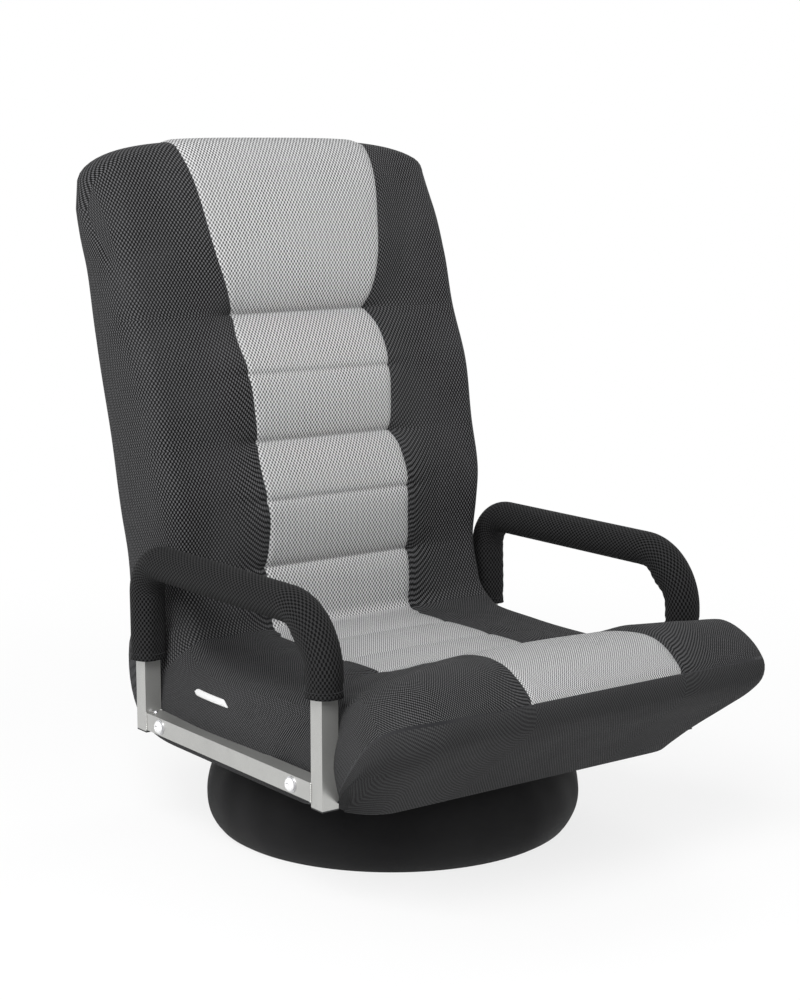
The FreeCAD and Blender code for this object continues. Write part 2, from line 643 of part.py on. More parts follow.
# Recline hinges
def polar(x, angle, radius):
    """Point about the hinge axis; angle 0 is up along the leaning back, positive towards the rear."""
    turn = math.radians(angle)
    return hinge + X_AXIS * x + UP * (radius * math.cos(turn)) - FORE * (radius * math.sin(turn))


def tooth_plate(side):
    low_x = side * (rail_in - TOOTH_PLATE)
    plate = outline_prism(tooth_plate_outline(low_x, 0), low_x, side * rail_in)
    disc = rod(V(low_x, HINGE_Y, HINGE_Z), X_AXIS * side, TOOTH_TIP_R, TOOTH_PLATE)
    plate = plate.fuse(disc).removeSplitter()
    root = TOOTH_TIP_R - TOOTH_DEPTH
    half_root = math.degrees(TOOTH_WIDTH / 2 / root)
    for step in range(-TOOTH_UPRIGHT_STEPS, TOOTH_FLAT_STEPS + 1):
        place = TOOTH_STEP * step
        gap = [polar(low_x, place - half_root, root), polar(low_x, place + half_root, root),
               polar(low_x, place + half_root * 1.3, TOOTH_TIP_R + 2), polar(low_x, place - half_root * 1.7, TOOTH_TIP_R + 2)]
        plate = plate.cut(outline_prism(gap, low_x, side * rail_in))
    return plate.cut(rod(V(low_x, HINGE_Y, HINGE_Z), X_AXIS * side, HINGE_PIN_R + RUNNING_GAP, TOOTH_PLATE))


def hinge_pin(side):
    out = X_AXIS * side
    first = arm_plate_out - PLATE
    pin = rod(hinge + out * first, out, HINGE_PIN_R, rail_in - first)
    pin = pin.fuse(rod(hinge + out * (first - HINGE_HEAD - RUNNING_GAP), out, HINGE_HEAD_R, HINGE_HEAD))
    pin = pin.fuse(rod(hinge + out * (first - RUNNING_GAP), out, HINGE_PIN_R, RUNNING_GAP))
    return pin.fuse(rod(hinge + out * rail_in, out, HINGE_HEAD_R, HINGE_HEAD))


def arm_plate(side):
    low_x = side * (arm_plate_out - PLATE)
    half = ARM_PLATE_WIDTH / 2
    outline = [leaned(low_x, 0, half), leaned(low_x, ARM_PLATE_REACH, half),
               leaned(low_x, ARM_PLATE_REACH, -half), leaned(low_x, PAWL_PIVOT_UP + PAWL_BOSS_R + half, -half),
               leaned(low_x, PAWL_PIVOT_UP + PAWL_BOSS_R, -PAWL_PIVOT_BACK - PAWL_BOSS_R),
               leaned(low_x, PAWL_PIVOT_UP - PAWL_BOSS_R, -PAWL_PIVOT_BACK - PAWL_BOSS_R),
               leaned(low_x, 0, -half)]
    plate = outline_prism(outline, low_x, side * arm_plate_out)
    out = X_AXIS * side
    plate = plate.fuse(rod(hinge + X_AXIS * low_x, out, half, PLATE)).removeSplitter()
    plate = plate.cut(rod(hinge + X_AXIS * low_x, out, HINGE_PIN_R + RUNNING_GAP, PLATE))
    return plate.cut(rod(leaned(low_x, PAWL_PIVOT_UP, -PAWL_PIVOT_BACK), out, PAWL_PIN_R, PLATE))


def pawl_pin(side):
    out = X_AXIS * side
    low = arm_plate_out - PLATE
    high = rail_in + PLATE / 2
    pin = rod(leaned(side * low, PAWL_PIVOT_UP, -PAWL_PIVOT_BACK), out, PAWL_PIN_R, high - low)
    head_x = side * (rail_in + RUNNING_GAP)
    head = rod(leaned(head_x, PAWL_PIVOT_UP, -PAWL_PIVOT_BACK), out, PAWL_PIN_R + 2, PLATE / 2 - RUNNING_GAP)
    return pin.fuse(head)


def pawl(side):
    """Pawl lifted clear of the teeth; its nose drops into a gap when it turns."""
    low_x = side * (rail_in - TOOTH_PLATE + RUNNING_GAP / 2)
    high_x = side * (rail_in - RUNNING_GAP / 2)
    tip = TOOTH_TIP_R + PAWL_LIFT
    heel = PAWL_NOSE_FORE - PAWL_NOSE / 2
    toe = PAWL_NOSE_FORE + PAWL_NOSE / 2
    outline = [leaned(low_x, PAWL_PIVOT_UP - PAWL_BOSS_R, -PAWL_PIVOT_BACK),
               leaned(low_x, tip + PAWL_NOSE, heel - PAWL_NOSE / 2), leaned(low_x, tip, heel),
               leaned(low_x, tip, toe), leaned(low_x, tip + 2 * PAWL_NOSE, toe),
               leaned(low_x, PAWL_PIVOT_UP + PAWL_BOSS_R, -PAWL_PIVOT_BACK)]
    body = outline_prism(outline, low_x, high_x)
    pivot = leaned(low_x, PAWL_PIVOT_UP, -PAWL_PIVOT_BACK)
    width = abs(high_x - low_x)
    body = body.fuse(rod(pivot, X_AXIS * side, PAWL_BOSS_R, width)).removeSplitter()
    return body.cut(rod(pivot, X_AXIS * side, PAWL_PIN_R + RUNNING_GAP, width))


def pawl_spring(side):
    """Leaf spring from a stud on the arm plate, bearing on the back of the pawl."""
    middle = rail_in - TOOTH_PLATE / 2
    low_x = side * (middle - SPRING_WIDTH / 2)
    high_x = side * (middle + SPRING_WIDTH / 2)
    stud_up = PAWL_PIVOT_UP + PAWL_BOSS_R + 3 * SPRING_STUD_R
    nose_up = TOOTH_TIP_R + PAWL_LIFT + 2 * PAWL_NOSE
    share = 0.75
    touch_fore = -PAWL_PIVOT_BACK * (1 - share)
    touch_up = PAWL_PIVOT_UP + PAWL_BOSS_R + (nose_up - PAWL_PIVOT_UP - PAWL_BOSS_R) * share + 2 * RUNNING_GAP
    a = leaned(low_x, stud_up, -PAWL_PIVOT_BACK / 2)
    b = leaned(low_x, touch_up + SPRING_THICK, touch_fore)
    along = (b - a).normalize()
    across = X_AXIS.cross(along) * SPRING_THICK
    leaf = outline_prism([a, b, b + across, a + across], low_x, high_x)
    stud_x = side * arm_plate_out
    stud = rod(leaned(stud_x, stud_up, -PAWL_PIVOT_BACK / 2), X_AXIS * side, SPRING_STUD_R,
               abs(high_x - stud_x))
    return stud.fuse(leaf)


def hinge_pieces():
    for name, side in SIDES.items():
        nodes["hinge_tooth_plate_" + name] = tooth_plate(side)
        nodes["hinge_pin_" + name] = hinge_pin(side)
        nodes["hinge_arm_" + name] = arm_plate(side)
        nodes["pawl_pin_" + name] = pawl_pin(side)
        nodes["pawl_" + name] = pawl(side)
        nodes["pawl_spring_" + name] = pawl_spring(side)


# Back frame
def back_frame():
    points = [leaned(-back_tube_x, BACK_TUBE_START, 0), leaned(-back_tube_x, BACK_TUBE_TOP, 0),
              leaned(back_tube_x, BACK_TUBE_TOP, 0), leaned(back_tube_x, BACK_TUBE_START, 0)]
    path = bend_path(points, [BACK_BEND, BACK_BEND])
    outer = sweep(square_wire(points[0], X_AXIS, FORE, TUBE), path)
    nodes["back_frame_hoop"] = outer.cut(sweep(square_wire(points[0], X_AXIS, FORE, TUBE - 2 * TUBE_WALL), path))
    reach = back_tube_x - TUBE / 2
    for k, up in enumerate(BACK_BARS_AT):
        half = reach - PLATE if up < ARM_PLATE_REACH else reach
        nodes["back_bar_%d" % (k + 1)] = square_tube(leaned(-half, up, 0), leaned(half, up, 0), UP)
    span = back_tube_x + TUBE / 2
    for k, up in enumerate(BACK_STRAPS_AT):
        corner = leaned(-span, up - BACK_STRAP_WIDTH / 2, TUBE / 2)
        face = Part.Face(Part.makePolygon([corner, corner + X_AXIS * (2 * span),
                                           corner + X_AXIS * (2 * span) + UP * BACK_STRAP_WIDTH,
                                           corner + UP * BACK_STRAP_WIDTH, corner]))
        nodes["back_strap_%d" % (k + 1)] = face.extrude(FORE * STRAP_THICK)


# Back cushion
def back_front(z):
    """Front face of the grey panel with its stuffed channels."""
    if z <= BACK_SEAMS[0][0]:
        return BACK_SEAMS[0][1]
    for (low, y_low), (high, y_high), crown in zip(BACK_SEAMS, BACK_SEAMS[1:], BACK_CROWNS):
        if z <= high:
            share = (z - low) / (high - low)
            return y_low + (y_high - y_low) * share - crown * channel_crown(share)
    return BACK_SEAMS[-1][1]


def back_section(z):
    seam_line = [(z_seam, y_seam) for z_seam, y_seam in BACK_SEAMS]
    front = back_front(z)
    edge = between(seam_line, z) - 3.0
    rear = between(BACK_REAR, z)
    half = between(BACK_HALVES, z)
    panel = between(((BACK_SEAMS[-2][0], BACK_PANEL_HALF), (BACK_SEAMS[-1][0], HEAD_PANEL_HALF)), z)
    if z < HINGE_Z:
        depth = math.sqrt(max(BACK_END_R ** 2 - (HINGE_Z - z) ** 2, 1.0))
        front = edge = HINGE_Y - depth + BACK_PANEL_BOW
        rear = HINGE_Y + depth - BACK_REAR_BOW
    elif z < BACK_SEAMS[0][0]:
        share = (z - HINGE_Z) / (BACK_SEAMS[0][0] - HINGE_Z)
        start = HINGE_Y - BACK_END_R + BACK_PANEL_BOW
        front = start + (front - start) * share
        edge = start + (edge - start) * share
    if z > BACK_ROUND_Z:
        rise = (z - BACK_ROUND_Z) / (BACK_TOP_Z - BACK_ROUND_Z)
        shrink = (1 - rise ** BACK_ROUND_POWER) ** (1 / BACK_ROUND_POWER)
        half = half * shrink
        thin = (1 - rise ** (2 * BACK_ROUND_POWER)) ** (1 / BACK_ROUND_POWER)
        middle = (front + rear) / 2
        front = middle + (front - middle) * thin
        edge = middle + (edge - middle) * thin
        rear = middle + (rear - middle) * thin
        panel = min(panel, 0.55 * half)
    inset = min(BACK_EDGE_IN, 0.3 * (rear - edge))
    wing = half - inset
    bow = min(BACK_PANEL_BOW, 0.15 * (rear - front))
    depth_middle = (edge + rear) / 2

    def at(x, y):
        return V(x, y, z)

    return Part.Wire([
        arc(at(-panel, front), at(0, front - bow), at(panel, front)),
        arc(at(panel, front), at((panel + wing) / 2, (front + edge) / 2 - bow), at(wing, edge)),
        arc(at(wing, edge), at(half, depth_middle), at(wing, rear)),
        arc(at(wing, rear), at(0, rear + min(BACK_REAR_BOW, bow + 1)), at(-wing, rear)),
        arc(at(-wing, rear), at(-half, depth_middle), at(-wing, edge)),
        arc(at(-wing, edge), at(-(panel + wing) / 2, (front + edge) / 2 - bow), at(-panel, front)),
    ])


def back_stations():
    stations = [HINGE_Z - BACK_END_R * math.sin(math.radians(turn)) for turn in (80, 62, 45, 25)]
    stations += [HINGE_Z, (HINGE_Z + BACK_SEAMS[0][0]) / 2]
    for (low, _), (high, _) in zip(BACK_SEAMS[:-1], BACK_SEAMS[1:-1]):
        stations += [low + (high - low) * share for share in CHANNEL_STATIONS]
    head_low = BACK_SEAMS[-2][0]
    stations += [head_low + (BACK_ROUND_Z - head_low) * share for share in (0.0, 0.08, 0.25, 0.55, 1.0)]
    rise = BACK_TOP_Z - BACK_ROUND_Z
    stations += [BACK_ROUND_Z + rise * share for share in (0.3, 0.52, 0.7, 0.83, 0.92, 0.98)]
    return stations


def back_cushion():
    solid = Part.makeLoft([back_section(z) for z in back_stations()], True, True)
    span = back_tube_x + TUBE / 2 + SOFT_GAP
    rear = TUBE / 2 + SOFT_GAP
    fore = TUBE / 2 + STRAP_THICK + SOFT_GAP
    low = BACK_TUBE_START - SOFT_GAP
    top = BACK_TUBE_TOP + TUBE / 2 + SOFT_GAP
    corners = [leaned(-span, low, -rear), leaned(-span, low, fore), leaned(-span, top, fore), leaned(-span, top, -rear)]
    solid = solid.cut(outline_prism(corners, -span, span))
    slot_in = arm_plate_out - PLATE - HINGE_HEAD - 2 * SOFT_GAP
    slot_out = rail_in + HINGE_HEAD + SOFT_GAP
    for side in SIDES.values():
        start = hinge + X_AXIS * (side * slot_in)
        width = slot_out - slot_in
        solid = solid.cut(rod(start, X_AXIS * side, BACK_END_R + RECLINE_GAP, width))
        half = ARM_PLATE_WIDTH / 2 + SOFT_GAP
        reach = ARM_PLATE_REACH + SOFT_GAP
        edge = side * slot_in
        corners = [leaned(edge, 0, half), leaned(edge, reach, half), leaned(edge, reach, -half), leaned(edge, 0, -half)]
        solid = solid.cut(outline_prism(corners, edge, side * (arm_plate_out + SOFT_GAP)))
    return solid


def main():
    base_pieces()
    swivel_pieces()
    seat_frame()
    nodes["seat_cushion"] = seat_cushion()
    nodes["seat_underside_cloth"] = underside_cloth()
    armrest_pieces()
    hinge_pieces()
    back_frame()
    nodes["back_cushion"] = back_cushion()
    os.makedirs("parts", exist_ok=True)
    for name, shape in nodes.items():
        shape.exportStep("parts/" + name + ".step")
        print(name, len(shape.Solids), "solids", round(shape.Volume), "mm3", shape.isValid())


main()
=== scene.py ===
import math

import bmesh
import bpy
import numpy as np
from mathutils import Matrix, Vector


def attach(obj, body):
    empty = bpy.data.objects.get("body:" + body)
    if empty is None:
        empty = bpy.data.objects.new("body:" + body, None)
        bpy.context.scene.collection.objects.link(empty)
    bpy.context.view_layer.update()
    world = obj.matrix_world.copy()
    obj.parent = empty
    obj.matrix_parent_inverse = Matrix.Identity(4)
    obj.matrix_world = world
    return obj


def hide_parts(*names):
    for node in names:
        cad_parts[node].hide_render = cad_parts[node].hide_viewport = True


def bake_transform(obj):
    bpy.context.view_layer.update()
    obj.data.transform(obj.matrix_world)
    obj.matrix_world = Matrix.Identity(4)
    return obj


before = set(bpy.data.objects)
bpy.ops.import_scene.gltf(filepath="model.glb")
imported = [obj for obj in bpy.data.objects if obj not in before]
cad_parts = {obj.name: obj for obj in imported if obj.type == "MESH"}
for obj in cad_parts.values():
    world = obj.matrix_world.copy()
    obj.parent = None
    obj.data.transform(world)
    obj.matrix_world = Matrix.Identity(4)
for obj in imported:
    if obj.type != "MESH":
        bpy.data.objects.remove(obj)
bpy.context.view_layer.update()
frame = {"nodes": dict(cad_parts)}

bl_info = {
    "name": "Floor chair dressing",
    "version": (1, 0, 0),
    "blender": (4, 5, 0),
    "location": "View3D > Sidebar > Floor chair",
    "description": "Dresses the packed floor chair frame with its cover, sleeves, base cloth and finishes",
    "category": "Object",
}

# Cover sizes in metres. A back table pairs a height with a depth, a seat table pairs a depth with a height.
BACK_TOP = 0.773
BACK_LOW = 0.236
BACK_SEAMS = (
    (0.222, 0.104), (0.289, 0.110), (0.367, 0.105), (0.432, 0.136),
    (0.510, 0.143), (0.577, 0.189), (0.778, 0.242),
)
BACK_CROWNS = (0.006, 0.006, 0.007, 0.006, 0.008, 0.024)
BACK_SIDE = (
    (0.222, 0.092), (0.255, 0.101), (0.285, 0.109), (0.336, 0.108), (0.374, 0.111), (0.435, 0.129),
    (0.510, 0.147), (0.577, 0.176), (0.650, 0.194), (0.720, 0.216), (0.778, 0.242),
)
BACK_REAR = (
    (0.180, 0.244), (0.330, 0.246), (0.400, 0.252), (0.560, 0.280), (0.662, 0.289), (0.772, 0.298),
)
REAR_LOW = 0.200
HINGE = (0.170, 0.180)
HINGE_ROUND = 0.0745
HINGE_ARC = (14, -90)
CREASE = (0.1035, 0.2125)
SIDE_CREASE = (0.089, 0.2205)

# Head: rounded upper corners, lower beside the grey panel than on it.
HEAD_ROUND_FROM = 0.600
HEAD_CORNER_DROP = 0.070
HEAD_CORNER_POWER = 3.6
HEAD_SIDE_FROM = 0.700
HEAD_SIDE_DROP = 0.003
HEAD_SIDE_EDGE = (-0.014, 0.002)

# Seat: channels between its seams, a roll up to its crest, and the nose below the front seam.
SEAT_SEAM_Z = 0.212
SEAT_CROWN = 0.0055
SEAT_SEAMS = (0.104, 0.030, -0.053, -0.118)
SEAT_FROM = 0.080
CREST = (-0.312, 0.2615)
CREST_FALL = 2.2
FRONT_SEAM = (-0.372, 0.232)
NOSE_PATH = (
    FRONT_SEAM, (-0.3765, 0.222), (-0.3745, 0.209), (-0.361, 0.193), (-0.330, 0.168), (-0.292, 0.138),
    (-0.250, 0.1025),
)
NOSE_CORNER = 0.044
NOSE_CORNER_FROM = 0.230
SEAT_SIDE = (
    (-0.372, 0.233), (-0.350, 0.252), (-0.312, 0.2635), (-0.296, 0.2590), (-0.278, 0.2520), (-0.240, 0.234),
    (-0.200, 0.219), (-0.150, 0.209), (-0.080, 0.204), (0.000, 0.204), (0.060, 0.210), (0.110, 0.221),
)
SIDE_AHEAD = 0.012
LOBE_PUFF = 0.006
LOBE_DEPTHS = (0.210, 0.290, 0.340, -FRONT_SEAM[0])
LOBE_EDGE = (-0.001, 0.009)
LOBE_FADE = (0.030, 0.040)
FLAT_SIDE = 0.8
FLAT_DEPTHS = (0.140, 0.200, 0.290, 0.350)
PINCH = 0.7
PINCH_FADE = 0.030

# Underside: where its rows start and end, how wide it is, and how far its edges hang.
UNDER_FROM = 0.100
UNDER_TURN = 0.130
UNDER_TO = -0.235
UNDER_NOSE = (-0.236, -0.250)
UNDER_Z = 0.1025
UNDER_HALF = 0.231
UNDER_NOSE_HALF = 0.222
UNDER_SAG = 0.0065
UNDER_SAG_EDGE = (0.040, 0.004)
UNDER_SAG_DEPTHS = (0.150, 0.230)
UNDER_NARROW_DEPTHS = (0.150, 0.220)
UNDER_CORNER_FROM = 0.120

# Half widths of the cover and of its grey panel, and radii of its rolled edges, by height or by depth.
BACK_HALF = (
    (0.180, 0.222), (0.330, 0.2235), (0.370, 0.229), (0.480, 0.236), (0.560, 0.240), (0.690, 0.246),
    (0.772, 0.248),
)
SEAT_HALF = (
    (-0.372, 0.250), (-0.300, 0.239), (-0.230, 0.225), (0.040, 0.226), (0.080, 0.220), (0.110, 0.216),
)
REAR_INSET = 0.003
BACK_PANEL = (
    (0.222, 0.099), (0.289, 0.102), (0.340, 0.099), (0.397, 0.102), (0.418, 0.100), (0.432, 0.095),
    (0.446, 0.096), (0.510, 0.100), (0.560, 0.101), (0.577, 0.095), (0.595, 0.101), (0.640, 0.114),
    (0.700, 0.124), (0.778, 0.135),
)
CREASE_PANEL = 0.099
SEAT_PANEL = (
    (-0.372, 0.102), (-0.312, 0.103), (-0.150, 0.103), (0.010, 0.103), (0.060, 0.102), (0.110, 0.099),
)
PANEL_EDGE = -0.004
BACK_SPREAD = 0.055
SEAT_SPREAD = 0.060
BACK_ROLL = ((0.236, 0.014), (0.400, 0.014), (0.560, 0.016), (0.650, 0.024), (0.772, 0.030))
SEAT_ROLL = ((-0.372, 0.036), (-0.312, 0.042), (-0.240, 0.030), (-0.150, 0.016), (0.080, 0.014))
THIN_ROLL = 0.3
LEAST_ROLL = 0.001
REAR_ROLL = 0.012
UNDER_ROLL = 0.004

# Seams: how hard each one pulls, how far its groove reaches, and how it fades beside the grey panel.
SEAM_PULL = (1.0, 0.55, 1.0, 0.55, 0.7, 0.6, 0.6, 0.8)
SEAM_REACH = 0.05
SEAM_WIDEN = 0.010
SEAM_FADE = 0.008
FRONT_SEAM_PULL = 1.8
# How far down the nose's first step the dark strip below the front seam reaches: the strip is painted shade
# in the seam's crease.
FRONT_SEAM_SHADE_STRIP = 0.35

# How much finer the weave is on the seat than on the back.
SEAT_WEAVE = 1.6

# Rows of the cover from mark to mark: down the back, around the crease, along the seat and down the nose.
BACK_ROWS = (34, 15, 15, 15, 15, 13)
BEND_ROWS = 14
SEAT_ROWS = (14, 15, 14, 26, 12)
NOSE_ROWS = 34
ROW_BUNCHING = 0.6
COLUMN_BUNCHING = 0.55


def smooth_table(table, at):
    """Values of a smooth curve through the table's pairs, at one place or many."""
    places, values = np.array(sorted(table), float).T
    slopes = np.gradient(values, places)
    at = np.clip(np.asarray(at, float), places[0], places[-1])
    low = np.clip(np.searchsorted(places, at) - 1, 0, len(places) - 2)
    span = places[low + 1] - places[low]
    share = (at - places[low]) / span
    square, cube = share**2, share**3
    rise = values[low] * (2 * cube - 3 * square + 1) + values[low + 1] * (3 * square - 2 * cube)
    lean = slopes[low] * (cube - 2 * square + share) + slopes[low + 1] * (cube - square)
    return rise + lean * span


def smooth_step(low, high, value):
    """Zero at low and below, one at high and above, smooth between them."""
    share = np.clip((np.asarray(value, float) - low) / (high - low), 0, 1)
    return share * share * (3 - 2 * share)


def hump(start, full, fall, end, value):
    """Zero up to start, one from full to fall, and zero again from end on."""
    return smooth_step(start, full, value) * (1 - smooth_step(fall, end, value))


def round_off(reach, half, radius, limit):
    """How far a rounded edge has fallen away at a reach from the middle, up to a limit of its radius."""
    into = np.clip(reach - (half - radius), 0, limit * radius)
    return radius - np.sqrt(radius**2 - into**2)


def run_lengths(points, axis=0):
    """Distance along lines of points, from nought at the start of each line."""
    steps = np.linalg.norm(np.diff(points, axis=axis), axis=-1).cumsum(axis=axis)
    return np.insert(steps, 0, 0.0, axis=axis)


def channel_crown(share):
    """Height of a filled channel across its width, nought at both of its seams and one in its middle."""
    return 1 - np.abs(2 * share - 1) ** 4


def back_centre(height):
    """Depth of the back's front face on its centre line, with the filled channels between its seams."""
    for (low, depth), (high, next_depth), crown in zip(BACK_SEAMS, BACK_SEAMS[1:], BACK_CROWNS):
        if height <= high:
            break
    share = (height - low) / (high - low)
    return depth + (next_depth - depth) * share - crown * channel_crown(share)


def seat_centre(depth):
    """Height of the seat's top face on its centre line, from the crease to the seam below the front roll."""
    for rear, front in zip(SEAT_SEAMS, SEAT_SEAMS[1:]):
        if depth >= front:
            return SEAT_SEAM_Z + SEAT_CROWN * channel_crown((rear - depth) / (rear - front))
    if depth >= CREST[0]:
        share = (SEAT_SEAMS[-1] - depth) / (SEAT_SEAMS[-1] - CREST[0])
        rise = 0.5 * math.sin(math.pi / 2 * share) + 0.5 * share * share * (3 - 2 * share)
        return SEAT_SEAM_Z + (CREST[1] - SEAT_SEAM_Z) * rise
    share = (CREST[0] - depth) / (CREST[0] - FRONT_SEAM[0])
    return CREST[1] - (CREST[1] - FRONT_SEAM[1]) * share**CREST_FALL


def end_spacing(share, bunching):
    """Shares from nought to one, moved closer together at both ends."""
    return (1 - bunching) * share + bunching * (0.5 - 0.5 * np.cos(np.pi * share))


def along(points, count):
    """Evenly spaced points on a smooth line through some points, both ends included."""
    points = np.array(points, float)
    steps = run_lengths(points)
    places = np.linspace(0, steps[-1], count)
    return np.stack([smooth_table(list(zip(steps, points[:, i])), places) for i in range(2)], axis=1)


def curved_corner(start, control, end, count):
    """Points on a rounded inner corner between two runs."""
    share = np.linspace(0, 1, count + 2)[1:-1, None]
    start, control, end = (np.array(point, float) for point in (start, control, end))
    return (1 - share) ** 2 * start + 2 * share * (1 - share) * control + share**2 * end


class Cover:
    """The one padded cover of back and seat, as rows from the head to the front edge underneath.

    Each row has a front line on the person's side, a rear line on the far side, and a band at each end.
    """

    PANEL_COLUMNS = 15
    SIDE_COLUMNS = 17
    BAND_STEPS = 10

    def __init__(self, sizes):
        self.sizes = sizes
        self.seam_rows = []
        self.build_rows()
        self.build_points()

    def build_rows(self):
        """Front centre, front side and rear lines, half widths and panel half widths of every row."""
        back = self.back_rows()
        self.back_count = len(back[0])
        self.crease_row = self.back_count + BEND_ROWS // 2
        seat = self.seat_rows(self.back_count + BEND_ROWS)
        self.front_seam_row = self.back_count + BEND_ROWS + len(seat[0])
        runs = zip(back, self.bend_rows(*(part[-1] for part in back[1:4])), seat, self.nose_rows())
        self.centre, self.side, self.rear, self.half, self.panel = (np.concatenate(parts) for parts in runs)
        self.count = len(self.centre)
        self.length = run_lengths(self.centre)
        self.rear_length = run_lengths(self.rear)

    def spaced_rows(self, marks, counts, seams, first=0):
        """Places from mark to mark, closer together at the marks, noting the rows of the seams."""
        places = []
        for start, end, count in zip(marks, marks[1:], counts):
            if start in seams:
                self.seam_rows.append(first + len(places))
            places.extend(start + (end - start) * end_spacing(np.arange(count) / count, ROW_BUNCHING))
        return np.array(places)

    def back_rows(self):
        """Rows down the back, from the head to the crease."""
        seams = [height for height, _ in BACK_SEAMS]
        heights = self.spaced_rows([BACK_TOP, *seams[-2:0:-1], BACK_LOW], BACK_ROWS, seams)
        rear_heights = REAR_LOW + (heights - BACK_LOW) * (BACK_TOP - REAR_LOW) / (BACK_TOP - BACK_LOW)
        centre = np.stack([[back_centre(height) for height in heights], heights], axis=1)
        side = np.stack([smooth_table(BACK_SIDE, heights), heights], axis=1)
        rear = np.stack([smooth_table(BACK_REAR, rear_heights), rear_heights], axis=1)
        half = smooth_table(BACK_HALF, heights) - self.sizes.edge_bulge
        return centre, side, rear, half, smooth_table(BACK_PANEL, heights)

    @staticmethod
    def bend_rows(side, rear, half):
        """Rows around the crease, from the back's last row to the seat's first one, and around the hinge."""
        side_from = SEAT_FROM - SIDE_AHEAD
        side_start = (side_from, float(smooth_table(SEAT_SIDE, side_from)))
        seat_start = (SEAT_FROM, seat_centre(SEAT_FROM))
        centre = curved_corner((back_centre(BACK_LOW), BACK_LOW), CREASE, seat_start, BEND_ROWS)
        side = curved_corner(side, SIDE_CREASE, side_start, BEND_ROWS)
        turns = np.radians(np.linspace(*HINGE_ARC, 12))
        low = [(HINGE[0] + HINGE_ROUND * math.cos(a), HINGE[1] + HINGE_ROUND * math.sin(a)) for a in turns]
        rear = along([rear, *low, (UNDER_TURN, UNDER_Z), (UNDER_FROM, UNDER_Z)], BEND_ROWS + 2)[1:-1]
        half = np.linspace(half, float(smooth_table(SEAT_HALF, SEAT_FROM)), BEND_ROWS + 2)[1:-1]
        return centre, side, rear, half, np.full(BEND_ROWS, CREASE_PANEL)

    def seat_rows(self, first):
        """Rows along the seat, from the crease to the seam below the front roll."""
        marks = [SEAT_FROM, *SEAT_SEAMS[1:], CREST[0], FRONT_SEAM[0]]
        depths = self.spaced_rows(marks, SEAT_ROWS, SEAT_SEAMS, first)
        side_depths = depths - SIDE_AHEAD * smooth_step(0.0, SEAT_FROM, depths)
        under = UNDER_FROM + (depths - SEAT_FROM) * (UNDER_FROM - UNDER_TO) / (SEAT_FROM - FRONT_SEAM[0])
        centre = np.stack([depths, [seat_centre(depth) for depth in depths]], axis=1)
        side = np.stack([side_depths, smooth_table(SEAT_SIDE, side_depths)], axis=1)
        rear = np.stack([under, np.full(len(depths), UNDER_Z)], axis=1)
        return centre, side, rear, smooth_table(SEAT_HALF, depths), smooth_table(SEAT_PANEL, depths)

    @staticmethod
    def nose_rows():
        """Rows down the nose, with one close below the front seam for the narrow dark strip along it, which
        is painted shade in the seam's crease.
        """
        nose = along(NOSE_PATH, NOSE_ROWS)
        nose = np.insert(nose, 1, nose[0] + FRONT_SEAM_SHADE_STRIP * (nose[1] - nose[0]), axis=0)
        rear = np.stack([np.linspace(*UNDER_NOSE, len(nose)), np.full(len(nose), UNDER_Z)], axis=1)
        narrow = smooth_step(0.25, 1, np.linspace(0, 1, len(nose)))
        half = SEAT_HALF[0][1] + (UNDER_NOSE_HALF - SEAT_HALF[0][1]) * narrow
        return nose, nose, rear, half, np.full(len(nose), SEAT_PANEL[0][1])

    @staticmethod
    def width(lines):
        """Distance along each line of a grid, measured both ways from its middle."""
        run = run_lengths(lines, axis=1)
        return run - run[:, lines.shape[1] // 2, None]

    def rise(self, grid):
        """Distance down each column of a grid, measured from the lowest seam of the head on."""
        run = run_lengths(grid)
        start = self.seam_rows[0]
        return run - run[start] + self.length[start]

    def columns(self, row):
        """Places across a row from one edge to the other, with a column on each edge of the grey panel."""
        panel, half = self.panel[row], self.half[row]
        inner = panel * np.sin(np.linspace(0, np.pi / 2, self.PANEL_COLUMNS + 1))
        share = end_spacing(np.linspace(0, 1, self.SIDE_COLUMNS + 1)[1:], COLUMN_BUNCHING)
        right = np.concatenate([inner, panel + (half - panel) * share])
        return np.concatenate([-right[:0:-1], right])

    def seam_groove(self, row, across):
        """How far the sewn lines pull a row of the front face in, across the panel and along its edges."""
        sizes, panel = self.sizes, self.panel[row]
        over = np.clip(np.abs(across) - panel, 0, None)
        depth = np.zeros_like(across)
        for pull, seam in zip(SEAM_PULL, self.seam_rows):
            gap = self.length[row] - self.length[seam]
            if abs(gap) <= SEAM_REACH:
                width = sizes.seam_width * (1 + over / SEAM_WIDEN)
                fade = pull * np.exp(-((over / SEAM_FADE) ** 2))
                depth += sizes.seam_depth * fade * np.exp(-((gap / width) ** 2))
        if row <= self.front_seam_row:
            edge = np.abs(np.abs(across) - panel)
            depth += sizes.edge_seam_depth * np.exp(-((edge / sizes.seam_width) ** 2))
        gap = self.length[row] - self.length[self.front_seam_row]
        depth += FRONT_SEAM_PULL * sizes.edge_seam_depth * np.exp(-((gap / sizes.seam_width) ** 2))
        return depth

    def inward(self, row):
        """Direction from the front line to the rear line of a row."""
        inward = self.rear[row] - self.centre[row]
        return inward / max(np.linalg.norm(inward), 1e-6)

